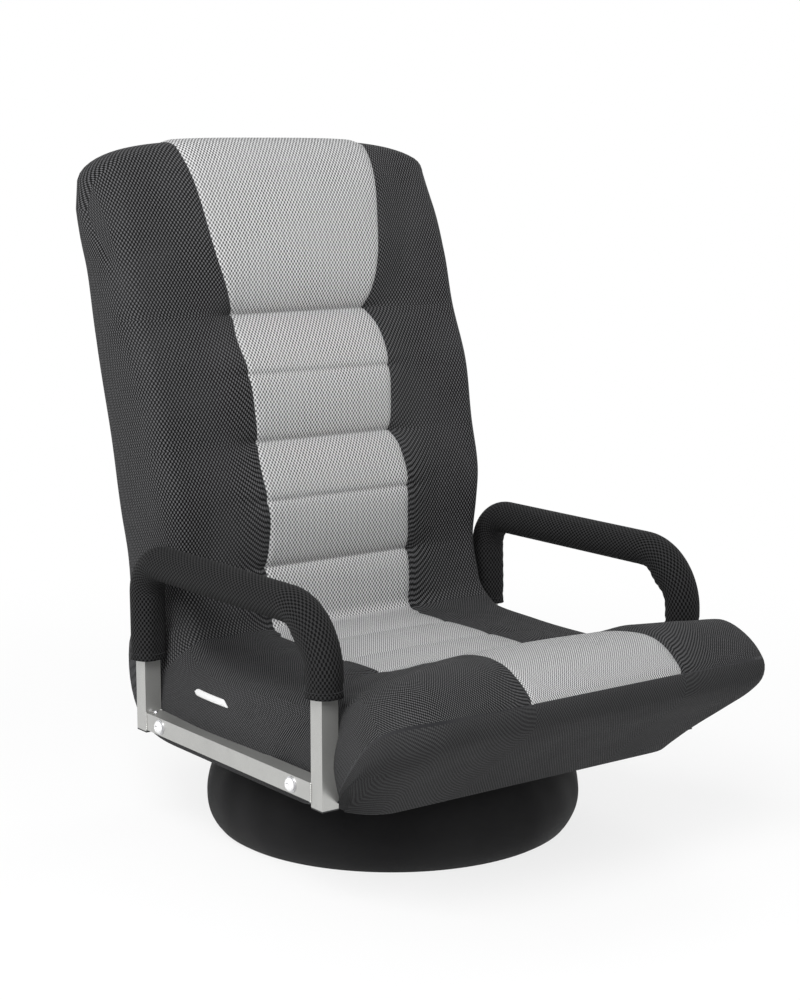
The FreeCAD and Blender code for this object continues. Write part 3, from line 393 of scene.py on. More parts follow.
    def front_line(self, row):
        """The front line of a row: channels inside the panel, a plain roll outside it, and rounded edges."""
        across = self.columns(row)
        reach = np.abs(across)
        panel, half = self.panel[row], self.half[row]
        spread = BACK_SPREAD if row < self.back_count else SEAT_SPREAD
        aside = smooth_step(panel + PANEL_EDGE, panel + spread, reach)[:, None]
        points = self.centre[row] * (1 - aside) + self.side[row] * aside
        drop = round_off(reach, half, self.edge_radius(row), 0.98)
        points = points + self.inward(row) * (drop + self.seam_groove(row, across))[:, None]
        if row < self.back_count:
            points[:, 1] -= self.head_drop(row, reach, half, self.centre[row][1])
        points[:, 1] += self.lobe(row, reach) - self.pinch(row, reach)
        points[:, 0] += self.nose_weight(row) * round_off(reach, half, NOSE_CORNER, 0.97)
        return np.column_stack([across, points])

    def head_drop(self, row, reach, half, height):
        """How much lower the head is towards its rounded corners, and beside the grey panel at its top."""
        share = np.clip(reach / half, 0, 1)
        corner = 1 - (1 - share**HEAD_CORNER_POWER) ** (1 / HEAD_CORNER_POWER)
        low, high = (self.panel[row] + edge for edge in HEAD_SIDE_EDGE)
        drop = HEAD_CORNER_DROP * corner * smooth_step(HEAD_ROUND_FROM, BACK_TOP, height)
        beside = smooth_step(low, high, reach) * smooth_step(HEAD_SIDE_FROM, BACK_TOP, height)
        return drop + HEAD_SIDE_DROP * beside

    def lobe(self, row, reach):
        """How far the black ends of the front roll stand up beside the grey panel."""
        if not self.back_count < row < self.front_seam_row:
            return np.zeros_like(reach)
        panel, half = self.panel[row], self.half[row]
        weight = hump(*LOBE_DEPTHS, -self.centre[row][0])
        edges = (panel + LOBE_EDGE[0], panel + LOBE_EDGE[1], panel + LOBE_FADE[0], half - LOBE_FADE[1])
        return LOBE_PUFF * weight * hump(*edges, reach)

    def pinch(self, row, reach):
        """How much lower a filled channel of the seat is towards the panel's edges than in its middle."""
        depth, height = self.centre[row]
        if row < self.back_count or depth < SEAT_SEAMS[-1] or depth > SEAT_FROM:
            return np.zeros_like(reach)
        panel = self.panel[row]
        lower = np.clip(reach / panel, 0, 1) ** 3 * (1 - smooth_step(panel, panel + PINCH_FADE, reach))
        return PINCH * max(0.0, height - SEAT_SEAM_Z) * lower

    def edge_radius(self, row):
        """Radius of the rolled edge of a row, smaller where the cover thins out towards its front edge."""
        depth, height = self.centre[row]
        if row < self.back_count:
            return float(smooth_table(BACK_ROLL, height)) * self.sizes.roll
        thick = np.linalg.norm(self.rear[row] - self.centre[row])
        return min(float(smooth_table(SEAT_ROLL, depth)) * self.sizes.roll, THIN_ROLL * thick + LEAST_ROLL)

    def nose_weight(self, row):
        """How far a row follows the rounded corners of the seat's front, fully at the nose."""
        if row < self.back_count:
            return 0.0
        if row >= self.front_seam_row:
            return 1.0
        return float(smooth_step(NOSE_CORNER_FROM, -FRONT_SEAM[0], -self.centre[row][0]))

    def rear_line(self, row):
        """The rear or underneath line of a row, with tighter edges."""
        half = self.rear_half(row)
        across = self.columns(row) * half / self.half[row]
        reach = np.abs(across)
        depth, height = self.rear[row]
        on_back = row < self.back_count
        drop = round_off(reach, half, REAR_ROLL if on_back else UNDER_ROLL, 0.95)
        points = self.rear[row] - self.inward(row) * drop[:, None]
        if on_back:
            points[:, 1] -= self.head_drop(row, reach, half, height)
        else:
            sag = UNDER_SAG * (1 - smooth_step(*UNDER_SAG_DEPTHS, np.abs(depth)))
            points[:, 1] -= sag * smooth_step(half - UNDER_SAG_EDGE[0], half - UNDER_SAG_EDGE[1], reach)
            follow = smooth_step(UNDER_CORNER_FROM, -UNDER_NOSE[1], -depth)
            points[:, 0] += follow * round_off(reach, half, NOSE_CORNER, 0.97)
        return np.column_stack([across, points])

    def rear_half(self, row):
        """Half width of the rear or underneath line."""
        back = self.half[row] - REAR_INSET
        if row < self.back_count:
            return back
        share = smooth_step(self.back_count, self.back_count + BEND_ROWS, row)
        narrow = smooth_step(*UNDER_NARROW_DEPTHS, -self.rear[row][0])
        low = UNDER_HALF + (UNDER_NOSE_HALF - UNDER_HALF) * narrow
        return back * (1 - share) + low * share

    def band(self, start, end, outward, bulge):
        """Points between a front edge point and a rear edge point, rounded outwards."""
        share = np.linspace(0, 1, self.BAND_STEPS + 1)[:, None]
        swell = np.sin(np.pi * share) ** 0.5
        return start + (end - start) * share + np.array(outward) * bulge * swell

    def side_swell(self, row):
        """How far a row's side bands round outwards: less beside the lobes, not at all at the front edge."""
        if row < self.back_count:
            return self.sizes.edge_bulge
        share = max(0.0, (row - self.front_seam_row) / (self.count - 1 - self.front_seam_row))
        flat = FLAT_SIDE * hump(*FLAT_DEPTHS, -self.centre[row][0])
        return self.sizes.side_bulge * (1 - smooth_step(0.5, 1.0, share)) * (1 - flat)

    def top_facing(self, across):
        """Direction that the head's top edge faces, square to its rounded corners."""
        share = abs(across) / self.half[0]
        lift = (1 - min(share, 1) ** HEAD_CORNER_POWER) ** (1 - 1 / HEAD_CORNER_POWER)
        spread = share ** (HEAD_CORNER_POWER - 1) * (HEAD_CORNER_DROP / self.half[0])
        return Vector((math.copysign(spread, across), 0, lift)).normalized()

    def build_points(self):
        """All of the cover's patches as grids of points."""
        rows = range(self.count)
        self.front = front = np.stack([self.front_line(row) for row in rows])
        self.rear_face = rear = np.stack([self.rear_line(row) for row in rows])
        swell = [self.side_swell(row) for row in rows]
        self.left = np.stack([self.band(front[i, 0], rear[i, 0], (-1, 0, 0), swell[i]) for i in rows])
        self.right = np.stack([self.band(front[i, -1], rear[i, -1], (1, 0, 0), swell[i]) for i in rows])
        top = [
            self.band(start, end, self.top_facing(start[0]), self.sizes.edge_bulge)
            for start, end in zip(front[0], rear[0])
        ]
        self.top = np.stack(top)


class MeshMaker:
    """Collects grids of points into one mesh, welding points that meet, with weave coordinates in metres."""

    def __init__(self):
        self.points = []
        self.faces = []
        self.weave = []
        self.materials = []
        self.held = []

    def grid(self, points, weave, material, held=1.0):
        """Add a grid of points. The material is one index, or a grid of indices with one for each face.

        Held says how firmly each point keeps its place when the cover is filled.
        """
        rows, columns = points.shape[:2]
        start = len(self.points)
        self.points.extend(points.reshape(-1, 3).tolist())
        self.held.extend(np.broadcast_to(held, (rows, columns)).ravel().tolist())
        flat = weave.reshape(-1, 2)
        material = np.broadcast_to(material, (rows - 1, columns - 1))
        for row in range(rows - 1):
            for column in range(columns - 1):
                low = row * columns + column
                corners = (low, low + 1, low + columns + 1, low + columns)
                self.faces.append(tuple(start + corner for corner in corners))
                self.weave.extend(flat[corner] for corner in corners)
                self.materials.append(int(material[row, column]))

    def finish(self, name, materials):
        """A finished object at the origin, smooth, with its faces outwards."""
        mesh = bpy.data.meshes.new(name)
        mesh.from_pydata(self.points, [], self.faces)
        layer = mesh.uv_layers.new(name="weave")
        layer.data.foreach_set("uv", np.array(self.weave, np.float32).ravel())
        mesh.polygons.foreach_set("material_index", self.materials)
        mesh.attributes.new("held", "FLOAT", "POINT").data.foreach_set("value", self.held)
        for material in materials:
            mesh.materials.append(material)
        work = bmesh.new()
        work.from_mesh(mesh)
        bmesh.ops.remove_doubles(work, verts=work.verts, dist=1e-5)
        bmesh.ops.dissolve_degenerate(work, edges=work.edges, dist=1e-6)
        bmesh.ops.recalc_face_normals(work, faces=work.faces)
        for face in work.faces:
            face.smooth = True
        work.to_mesh(mesh)
        work.free()
        item = bpy.data.objects.new(name, mesh)
        bpy.context.scene.collection.objects.link(item)
        return item


def one_grid(name, points, weave, materials):
    """A piece made of a single grid of points."""
    maker = MeshMaker()
    maker.grid(np.asarray(points), np.asarray(weave), 0)
    return maker.finish(name, materials)


class Wire:
    """A value running through a tree of nodes, which plain arithmetic extends."""

    def __init__(self, graph, socket):
        self.graph = graph
        self.socket = socket

    def math(self, operation, *others):
        """One maths node on this value, and on a second value where the operation takes two."""
        inputs = dict(enumerate((self, *others)))
        return self.graph.value("ShaderNodeMath", "Value", inputs, operation=operation)

    def __add__(self, other):
        return self.math("ADD", other)

    def __mul__(self, other):
        return self.math("MULTIPLY", other)

    __radd__ = __add__
    __rmul__ = __mul__

    def step(self, low, high, start=0.0, end=1.0, kind="SMOOTHSTEP"):
        """A rise from start to end as this value goes from low to high, smooth unless said otherwise."""
        inputs = {"Value": self, "From Min": low, "From Max": high, "To Min": start, "To Max": end}
        return self.graph.value("ShaderNodeMapRange", "Result", inputs, interpolation_type=kind)


class Graph:
    """The nodes of one material or world."""

    # Sockets of the colour mix node, which has sockets of the same names for other kinds of value.
    MIX_SHARE, MIX_FIRST, MIX_SECOND, MIX_RESULT = 0, 6, 7, 2

    def __init__(self, owner):
        owner.use_nodes = True
        self.owner = owner
        self.tree = owner.node_tree
        kinds = {node.type: node for node in self.tree.nodes}
        self.shader = kinds.get("BSDF_PRINCIPLED") or kinds.get("BACKGROUND")
        self.end = kinds.get("OUTPUT_MATERIAL") or kinds.get("OUTPUT_WORLD")

    def value(self, kind, output, inputs=None, **settings):
        """An output of a new node: its settings first, as they can change its sockets, then its inputs."""
        made = self.tree.nodes.new(kind)
        for name, value in settings.items():
            setattr(made, name, value)
        for name, value in (inputs or {}).items():
            self.feed(made.inputs[name], value)
        return Wire(self, made.outputs[output])

    def feed(self, socket, value):
        """Join a wire to a socket, or set the socket's own value."""
        if isinstance(value, Wire):
            self.tree.links.new(value.socket, socket)
        else:
            socket.default_value = value

    def weave(self):
        """The piece's own weave coordinates in metres, along and across."""
        return self.split(self.value("ShaderNodeUVMap", "UV", uv_map="weave"))

    def place(self):
        """The point's place in metres."""
        return self.value("ShaderNodeTexCoord", "Object")

    def split(self, vector):
        """The first two parts of a vector."""
        first = self.value("ShaderNodeSeparateXYZ", "X", {"Vector": vector})
        return first, Wire(self, first.socket.node.outputs["Y"])

    def noise(self, scale, detail=2.0):
        """Soft noise between nought and one."""
        inputs = {"Vector": self.place(), "Scale": scale, "Detail": detail}
        return self.value("ShaderNodeTexNoise", "Fac", inputs)

    def mix(self, share, first, second):
        """A colour between two colours."""
        inputs = {self.MIX_SHARE: share, self.MIX_FIRST: first, self.MIX_SECOND: second}
        return self.value("ShaderNodeMix", self.MIX_RESULT, inputs, data_type="RGBA")

    def bump(self, height, strength, distance):
        """Raise the surface by a height."""
        inputs = {"Height": height, "Strength": strength, "Distance": distance}
        self.feed(self.shader.inputs["Normal"], self.value("ShaderNodeBump", "Normal", inputs))

    def shaded(self):
        """What the graph's own shader gives."""
        return Wire(self, self.shader.outputs[0])

    def show(self, share, first, second):
        """End the graph in a mix of two shaders."""
        both = self.value("ShaderNodeMixShader", "Shader", {"Fac": share, 1: first, 2: second})
        self.feed(self.end.inputs["Surface"], both)

    def finish(self, colour, roughness, constants):
        """Set the shader's colour, roughness and constants, and give the material."""
        for name, value in {"Base Color": colour, "Roughness": roughness, **constants}.items():
            self.feed(self.shader.inputs[name], value)
        return self.owner


def new_graph(name):
    """The nodes of a new material."""
    return Graph(bpy.data.materials.new(name))


def rgba(colour, factor=1.0):
    """A colour made lighter or darker, with full cover."""
    return tuple(min(1.0, part * factor) for part in colour[:3]) + (1.0,)


def wave(distance, pitch, kind="SINE"):
    """A wave along a distance in metres, once in every pitch."""
    return (distance * (2 * math.pi / pitch)).math(kind)


def air_mesh(name, colour, pitch, contrast, rib=0.0, hole=0.0):
    """Spacer mesh: staggered diamond holes between knitted threads, a little uneven, dull in its holes."""
    graph = new_graph(name)
    across, upward = graph.weave()
    holes = wave(across, pitch, "COSINE") * wave(upward, 1.4 * pitch, "COSINE")
    thread = holes.step(hole - 0.40, hole + 0.30)
    strand = wave(across + 0.7 * upward, 0.28 * pitch)
    ribs = wave(across, 2 * pitch, "COSINE")
    fibre = graph.noise(900.0)
    patch = graph.noise(14.0, 3.0)
    tone = thread * (0.82 + 0.18 * fibre) + 0.06 * strand + rib * ribs
    cloth = graph.mix(tone.step(0.0, 1.0), rgba(colour, contrast), rgba(colour, 1.18))
    colour_out = graph.mix(patch.step(0.3, 0.75, 0.0, 0.22), cloth, rgba(colour, 0.72))
    graph.bump(thread * 0.9 + 0.12 * strand + 0.2 * fibre + 0.5 * rib * ribs, 0.8, 0.0006)
    gloss = {"Sheen Weight": 0.02, "Sheen Roughness": 0.5, "Specular IOR Level": 0.05}
    return graph.finish(colour_out, patch.step(0.2, 0.8, 0.74, 0.9), gloss)


def woven_cloth(name, colour, pitch, sheen=0.2, weave=True):
    """Close plain weave with slubs and slight creases."""
    graph = new_graph(name)
    across, upward = graph.weave() if weave else graph.split(graph.place())
    over = wave(across, pitch) * wave(upward, pitch)
    slub = graph.noise(260.0)
    patch = graph.noise(9.0, 4.0)
    tone = over.step(-0.6, 0.8) * 0.6 + 0.4 * slub
    cloth = graph.mix(tone, rgba(colour, 0.7), rgba(colour, 1.25))
    colour_out = graph.mix(patch.step(0.35, 0.7, 0.0, 0.25), cloth, rgba(colour, 0.75))
    graph.bump(over * 0.5 + slub + 0.8 * patch, 0.5, 0.0005)
    rough = patch.step(0.2, 0.8, 0.66, 0.84)
    return graph.finish(colour_out, rough, {"Sheen Weight": sheen, "Specular IOR Level": 0.2})


def painted_steel(name, colour):
    """Powder paint: a fine orange peel, slightly uneven gloss and faint rubbed streaks."""
    graph = new_graph(name)
    peel = graph.noise(1400.0, 1.0)
    cloud = graph.noise(30.0, 4.0)
    fleck = graph.noise(3500.0, 0.0)
    rubbed = graph.noise(85.0, 5.0).step(0.62, 0.76)
    paint = graph.mix(fleck.step(0.4, 0.7), rgba(colour, 0.9), rgba(colour, 1.12))
    colour_out = graph.mix(cloud.step(0.3, 0.8, 0.0, 0.3) + rubbed * 0.15, paint, rgba(colour, 0.78))
    graph.bump(peel, 0.25, 0.0003)
    rough = cloud.step(0.2, 0.8, 0.30, 0.44) + rubbed * 0.12
    return graph.finish(colour_out, rough, {"Metallic": 0.72, "Specular IOR Level": 0.5})


def zinc_plate(name, colour):
    """Bright zinc plate with faint clouding and fine scratches."""
    graph = new_graph(name)
    cloud = graph.noise(120.0, 3.0)
    scratch = graph.noise(2200.0, 1.0)
    colour_out = graph.mix(cloud.step(0.3, 0.7), rgba(colour, 0.85), rgba(colour, 1.05))
    graph.bump(scratch, 0.15, 0.0001)
    return graph.finish(colour_out, cloud.step(0.2, 0.8, 0.36, 0.5), {"Metallic": 1.0})


def moulded(name, colour, grain, rough):
    """Moulded plastic or rubber with a fine pebbled grain and a little dust in it."""
    graph = new_graph(name)
    pebble = graph.noise(grain)
    dust = graph.noise(40.0, 4.0)
    colour_out = graph.mix(dust.step(0.45, 0.8, 0.0, 0.4), rgba(colour), rgba(colour, 1.7))
    graph.bump(pebble, 0.4, 0.0003)
    return graph.finish(colour_out, dust.step(0.2, 0.8, rough, rough + 0.14), {"Specular IOR Level": 0.4})


def length(name, description, default, low=0.0, high=0.1):
    """A length setting in metres."""
    return bpy.props.FloatProperty(
        name=name, description=description, default=default, min=low, max=high, unit="LENGTH", precision=4
    )


def tint(name, description, default):
    """A colour setting."""
    return bpy.props.FloatVectorProperty(
        name=name, description=description, default=default, min=0.0, max=1.0, subtype="COLOR"
    )


def level(name, description, default, high):
    """A plain number setting."""
    return bpy.props.FloatProperty(name=name, description=description, default=default, min=0.0, max=high)


class FloorChairCover(bpy.types.PropertyGroup):
    """Sizes of the padded cover."""

    seam_depth: length("Seam depth", "How far a sewn line pulls the padding in", 0.0026)
    seam_width: length("Seam width", "Half width of the groove along a sewn line", 0.0026, 0.001)
    edge_seam_depth: length("Panel seam depth", "Depth of the seam around the grey panel", 0.0018)
    edge_bulge: length("Back edge bulge", "How far the back's edges round outwards", 0.008)
    side_bulge: length("Seat side bulge", "How far the seat's sides round outwards", 0.0125)
    roll: level("Edge roll", "How far the edges are rolled, one being the usual roll", 1.0, 1.2)
    puff: length("Puff", "Furthest the filling may push the cover out", 0.006)


class FloorChairFinish(bpy.types.PropertyGroup):
    """Colours and weave sizes."""

    grey: tint("Grey mesh", "Colour of the grey panel", (0.55, 0.55, 0.552))
    black: tint("Black mesh", "Colour of the black mesh", (0.066, 0.066, 0.068))
    base: tint("Base cloth", "Colour of the base cloth and the rear", (0.0042, 0.0042, 0.0048))
    paint: tint("Armrest paint", "Colour of the armrest tubes", (0.47, 0.47, 0.455))
    frame: tint("Frame paint", "Colour of the inner frame", (0.03, 0.03, 0.032))
    zinc: tint("Zinc", "Colour of the fasteners", (0.68, 0.68, 0.70))
    webbing: tint("Webbing", "Colour of the straps", (0.05, 0.05, 0.055))
    tab: tint("Tab", "Colour of the blank tab on the side", (0.85, 0.85, 0.84))
    grey_pitch: length("Grey mesh pitch", "Width of one hole of the grey mesh", 0.0044, 0.001)
    black_pitch: length("Black mesh pitch", "Width of one hole of the black mesh", 0.0044, 0.001)


class FloorChairStage(bpy.types.PropertyGroup):
    """Light on the studio floor."""

    sky: level("Sky", "Strength of the even light from all around", 0.71, 5.0)
    key: level("Key light", "Power of the large light at the front left, in watts", 85.0, 500.0)
    rim: level("Rim light", "Power of the light at the rear right, in watts", 12.0, 500.0)


class FloorChairSettings(bpy.types.PropertyGroup):
    """All settings of the dressing."""

    cover: bpy.props.PointerProperty(type=FloorChairCover)
    finish: bpy.props.PointerProperty(type=FloorChairFinish)
    stage: bpy.props.PointerProperty(type=FloorChairStage)


FINISHES = {}


def finish_named(name):
    """One of the chair's materials, made the first time it is asked for."""
    looks = bpy.context.scene.floor_chair.finish
    black, pitch = looks.black, looks.black_pitch
    makers = {
        "grey_mesh": (air_mesh, looks.grey, looks.grey_pitch, 0.16, 0.05),
        "black_mesh": (air_mesh, rgba(black, 1.38), pitch, 0.03, 0.0, 0.18),
        # The front mesh is its own coarser and flatter weave; its colour, darker than the black mesh, is
        # painted shade on the seat's front face.
        "front_mesh": (air_mesh, rgba(black, 0.66), 1.2 * pitch, 0.4),
        "sleeve_mesh": (air_mesh, rgba(black, 0.40), pitch, 0.05),
        "rear_cloth": (woven_cloth, rgba(looks.base, 3.4), 0.0012, 0.1),
        "base_cloth": (woven_cloth, looks.base, 0.0010, 0.03),
        "webbing": (woven_cloth, looks.webbing, 0.0022, 0.1, False),
        "tab_cloth": (woven_cloth, looks.tab, 0.0009),
        "arm_paint": (painted_steel, looks.paint),
        "frame_paint": (painted_steel, looks.frame),
        "zinc": (zinc_plate, looks.zinc),
        "plug_plastic": (moulded, (0.015, 0.015, 0.016), 900.0, 0.45),
        "floor_pad_rubber": (moulded, (0.02, 0.02, 0.02), 500.0, 0.7),
    }
    if name not in FINISHES:
        maker, *values = makers[name]
        FINISHES[name] = maker(name, *values)
    return FINISHES[name]


# Softening of the seat's front corners: where it starts and is full, sideways, forwards and upwards.
CORNER_SIDE = (0.15, 0.20)
CORNER_FRONT = (0.19, 0.26)
CORNER_HEIGHT = (0.104, 0.130)
CORNER_ROUNDS = 40
CORNER_PULLS = (0.60, -0.62)

# Filling of the cover as a short cloth simulation.
FILL_FRAMES = 20
FILL_CLOTH = {
    "quality": 5,
    "mass": 0.25,
    "tension_stiffness": 18.0,
    "compression_stiffness": 12.0,
    "shear_stiffness": 8.0,
    "bending_stiffness": 0.6,
    "use_pressure": True,
    "uniform_pressure_force": 4.0,
    "vertex_group_mass": "held",
}

# Where the cover keeps its place when it is filled: seams, panel edges, outer edges and crease.
HELD_SEAM = 0.007
HELD_OVER = 0.002
HELD_PANEL = 0.006
HELD_EDGE = (-0.050, -0.020)
HELD_CREASE = (0.020, 0.050)
HEAD_HELD_ROWS = 4
NOSE_HELD_ROWS = 3
LEAST_HELD = 0.02


def soften_corners(item):
    """Round off the front corners of the seat, where its top, front and sides meet."""
    mesh = item.data
    count = len(mesh.vertices)
    points = np.zeros(3 * count)
    mesh.vertices.foreach_get("co", points)
    points = points.reshape(-1, 3)
    ends = np.zeros(2 * len(mesh.edges), int)
    mesh.edges.foreach_get("vertices", ends)
    first, second = ends.reshape(-1, 2).T
    degree = np.bincount(ends, minlength=count)[:, None]
    weight = smooth_step(*CORNER_SIDE, np.abs(points[:, 0])) * smooth_step(*CORNER_FRONT, -points[:, 1])
    weight = (weight * smooth_step(*CORNER_HEIGHT, points[:, 2]))[:, None]
    for _ in range(CORNER_ROUNDS):
        for pull in CORNER_PULLS:
            total = np.zeros_like(points)
            np.add.at(total, first, points[second])
            np.add.at(total, second, points[first])
            points += pull * weight * (total / degree - points)
    mesh.vertices.foreach_set("co", points.astype(np.float32).ravel())
    mesh.update()


def fill_cover(item, reach):
    """Let the filling push the cloth out between its seams, no further than a reach, and keep that shape."""
    mesh = item.data
    count = len(mesh.vertices)
    held = np.zeros(count, np.float32)
    mesh.attributes["held"].data.foreach_get("value", held)
    group = item.vertex_groups.new(name="held")
    for index, weight in enumerate(held):
        group.add([index], float(weight), "REPLACE")
    cloth = item.modifiers.new("filling", "CLOTH")
    for name, value in FILL_CLOTH.items():
        setattr(cloth.settings, name, value)
    cloth.settings.effector_weights.gravity = 0.0
    cloth.point_cache.frame_start = 1
    cloth.point_cache.frame_end = FILL_FRAMES
    scene = bpy.context.scene
    for number in range(1, FILL_FRAMES + 1):
        scene.frame_set(number)
    filled = item.evaluated_get(bpy.context.evaluated_depsgraph_get()).to_mesh()
    before, after = np.zeros(3 * count, np.float32), np.zeros(3 * count, np.float32)
    mesh.vertices.foreach_get("co", before)
    filled.vertices.foreach_get("co", after)
    moved = (after - before).reshape(-1, 3)
    far = np.linalg.norm(moved, axis=1)
    if not np.isfinite(far).all() or far.max() < 1e-5:
        raise RuntimeError("the filling did not move the cover")
    kept = moved * (reach * np.tanh(far / reach) / np.maximum(far, 1e-9))[:, None]
    item.modifiers.clear()
    item.vertex_groups.clear()
    scene.frame_set(1)
    mesh.vertices.foreach_set("co", (before + kept.ravel()).astype(np.float32))
    mesh.update()


class FLOORCHAIR_OT_cover(bpy.types.Operator):
    """Make the padded cover of back and seat"""

    bl_idname = "floor_chair.cover"
    bl_label = "Padded cover"

    GREY, BLACK, CLOTH, FRONT = range(4)

    def execute(self, context):
        sizes = context.scene.floor_chair.cover
        cover = Cover(sizes)
        maker = MeshMaker()
        front_faces = self.front_materials(cover)
        weave = np.stack([cover.width(cover.front), cover.rise(cover.front)], axis=2)
        held, split, seam = self.held(cover), cover.crease_row, cover.front_seam_row
        maker.grid(cover.front[: split + 1], weave[: split + 1], front_faces[:split], held[: split + 1])
        maker.grid(cover.front[split:], SEAT_WEAVE * weave[split:], front_faces[split:], held[split:])
        along_rear = np.repeat(cover.rear_length[:, None], cover.rear_face.shape[1], axis=1)
        maker.grid(cover.rear_face, np.stack([cover.rear_face[:, :, 0], along_rear], axis=2), self.CLOTH)
        for band, edge, sign in ((cover.left, 0, -1), (cover.right, -1, 1)):
            out = run_lengths(band, axis=1) + np.abs(weave[:, edge, :1])
            weave_back = np.stack([sign * out, np.repeat(weave[:, edge, 1:], out.shape[1], axis=1)], axis=2)
            maker.grid(band[: split + 1], weave_back[: split + 1], self.BLACK)
            maker.grid(band[split : seam + 1], SEAT_WEAVE * band[split : seam + 1, :, 1:], self.BLACK)
            finish = np.full((cover.count - 1 - seam, out.shape[1] - 1), self.FRONT)
            # The first row below the front seam takes the dark rear cloth, as painted shade in the seam's
            # crease.
            finish[0] = self.CLOTH
            maker.grid(band[seam:], SEAT_WEAVE * weave_back[seam:], finish)
        over = run_lengths(cover.top, axis=1)
        top_faces = np.repeat(front_faces[0][:, None], cover.BAND_STEPS, axis=1)
        width = np.repeat(weave[0][:, :1], cover.BAND_STEPS + 1, axis=1)
        maker.grid(cover.top, np.stack([width, weave[0][:, 1:] - over], axis=2), top_faces)
        edge = np.stack([cover.front[-1], cover.rear_face[-1]])
        maker.grid(edge, edge[:, :, :2], self.CLOTH)
        names = ("grey_mesh", "black_mesh", "rear_cloth", "front_mesh")
        item = maker.finish("cushion_cover", [finish_named(name) for name in names])
        soften_corners(item)
        fill_cover(item, sizes.puff)
        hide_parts("seat_cushion", "back_cushion", "seat_underside_cloth")
        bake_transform(item)
        return {"FINISHED"}

    @staticmethod
    def held(cover):
        """Firm along the sewn lines and towards the edges, free in the middle of each channel and side."""
        across = np.abs(cover.front[:, :, 0])
        panel = cover.panel[:, None]
        from_seam = np.min([np.abs(cover.length - cover.length[row]) for row in cover.seam_rows], axis=0)
        held = np.exp(-((from_seam[:, None] / HELD_SEAM) ** 2)) * (across < panel + HELD_OVER)
        held = np.maximum(held, np.exp(-(((across - panel) / HELD_PANEL) ** 2)))
        held = np.maximum(held, smooth_step(*HELD_EDGE, across - cover.half[:, None]))
        held[:HEAD_HELD_ROWS] = 1.0
        crease = np.abs(cover.length - cover.length[cover.crease_row])
        held = np.maximum(held, 1 - smooth_step(*HELD_CREASE, crease)[:, None])
        held[cover.front_seam_row - NOSE_HELD_ROWS :] = 1.0
        return np.maximum(held, LEAST_HELD)

    def front_materials(self, cover):
        """Grey inside the panel, from the head down to the seam below the front roll, and black around it.
        Below that seam come a strip of dark cloth as painted shade in its crease, and then the front mesh,
        darkened as painted shade.
        """
        columns = cover.front.shape[1] - 1
        faces = np.full((cover.count - 1, columns), self.BLACK)
        middle = columns // 2
        faces[: cover.front_seam_row, middle - cover.PANEL_COLUMNS : middle + cover.PANEL_COLUMNS] = self.GREY
        faces[cover.front_seam_row :] = self.FRONT
        # The first row below the front seam takes the dark rear cloth, as painted shade in the seam's crease.
        faces[cover.front_seam_row] = self.CLOTH
        return faces


def copies(name, part, places, turns, material):
    """One mesh with a copy of a part at every place, each turned by its own angles."""
    mesh = bpy.data.meshes.new(name)
    mesh.from_pydata([tuple(place) for place in places], [], [])
    turn_values = mesh.attributes.new("turn", "FLOAT_VECTOR", "POINT").data
    turn_values.foreach_set("vector", np.array(turns, np.float32).ravel())
    item = bpy.data.objects.new(name, mesh)
    bpy.context.scene.collection.objects.link(item)
    tree = bpy.data.node_groups.new(name + "_copies", "GeometryNodeTree")
    new_socket = tree.interface.new_socket
    new_socket("Geometry", in_out="INPUT", socket_type="NodeSocketGeometry")
    part_input = new_socket("Part", in_out="INPUT", socket_type="NodeSocketObject")
    finish_input = new_socket("Finish", in_out="INPUT", socket_type="NodeSocketMaterial")
    new_socket("Geometry", in_out="OUTPUT", socket_type="NodeSocketGeometry")
    source, end = (tree.nodes.new("NodeGroup" + kind) for kind in ("Input", "Output"))
    kinds = ("ObjectInfo", "InputNamedAttribute", "InstanceOnPoints", "RealizeInstances", "SetMaterial")
    info, turn, place, real, paint = (tree.nodes.new("GeometryNode" + kind) for kind in kinds)
    turn.data_type = "FLOAT_VECTOR"
    turn.inputs["Name"].default_value = "turn"
    links = (
        (source.outputs["Geometry"], place.inputs["Points"]),
        (source.outputs["Part"], info.inputs["Object"]),
        (info.outputs["Geometry"], place.inputs["Instance"]),
        (turn.outputs["Attribute"], place.inputs["Rotation"]),
        (place.outputs["Instances"], real.inputs["Geometry"]),
        (real.outputs["Geometry"], paint.inputs["Geometry"]),
        (source.outputs["Finish"], paint.inputs["Material"]),
        (paint.outputs["Geometry"], end.inputs["Geometry"]),
    )
    for start, finish in links:
        tree.links.new(start, finish)
    modifier = item.modifiers.new("copies", "NODES")
    modifier.node_group = tree
    modifier[part_input.identifier] = part
    modifier[finish_input.identifier] = material
    depsgraph = bpy.context.evaluated_depsgraph_get()
    made = bpy.data.meshes.new_from_object(item.evaluated_get(depsgraph))
    item.modifiers.clear()
    item.data = made
    bpy.data.meshes.remove(mesh)
    bpy.data.node_groups.remove(tree)
    bpy.data.meshes.remove(part.data)
    if not len(made.polygons):
        raise RuntimeError(name + " came out empty")
    return item


def dress(item, body):
    """Say which body a piece rides on."""
    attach(item, body)


def turned_ring(radius, angles, height):
    """One ring of points around the Z axis."""
    return np.column_stack([radius * np.cos(angles), radius * np.sin(angles), np.full(len(angles), height)])


def lathe_part(name, rings, around=48):
    """A turned part on +Z. Each ring is a radius, which may differ around the part, and a height."""
    angles = np.linspace(0, 2 * np.pi, around + 1)
    points = []
    for radius, height in rings:
        points.append(turned_ring(radius(angles) if callable(radius) else radius, angles, height))
    grid = np.stack(points)
    return one_grid(name, grid, grid[:, :, :2], [])


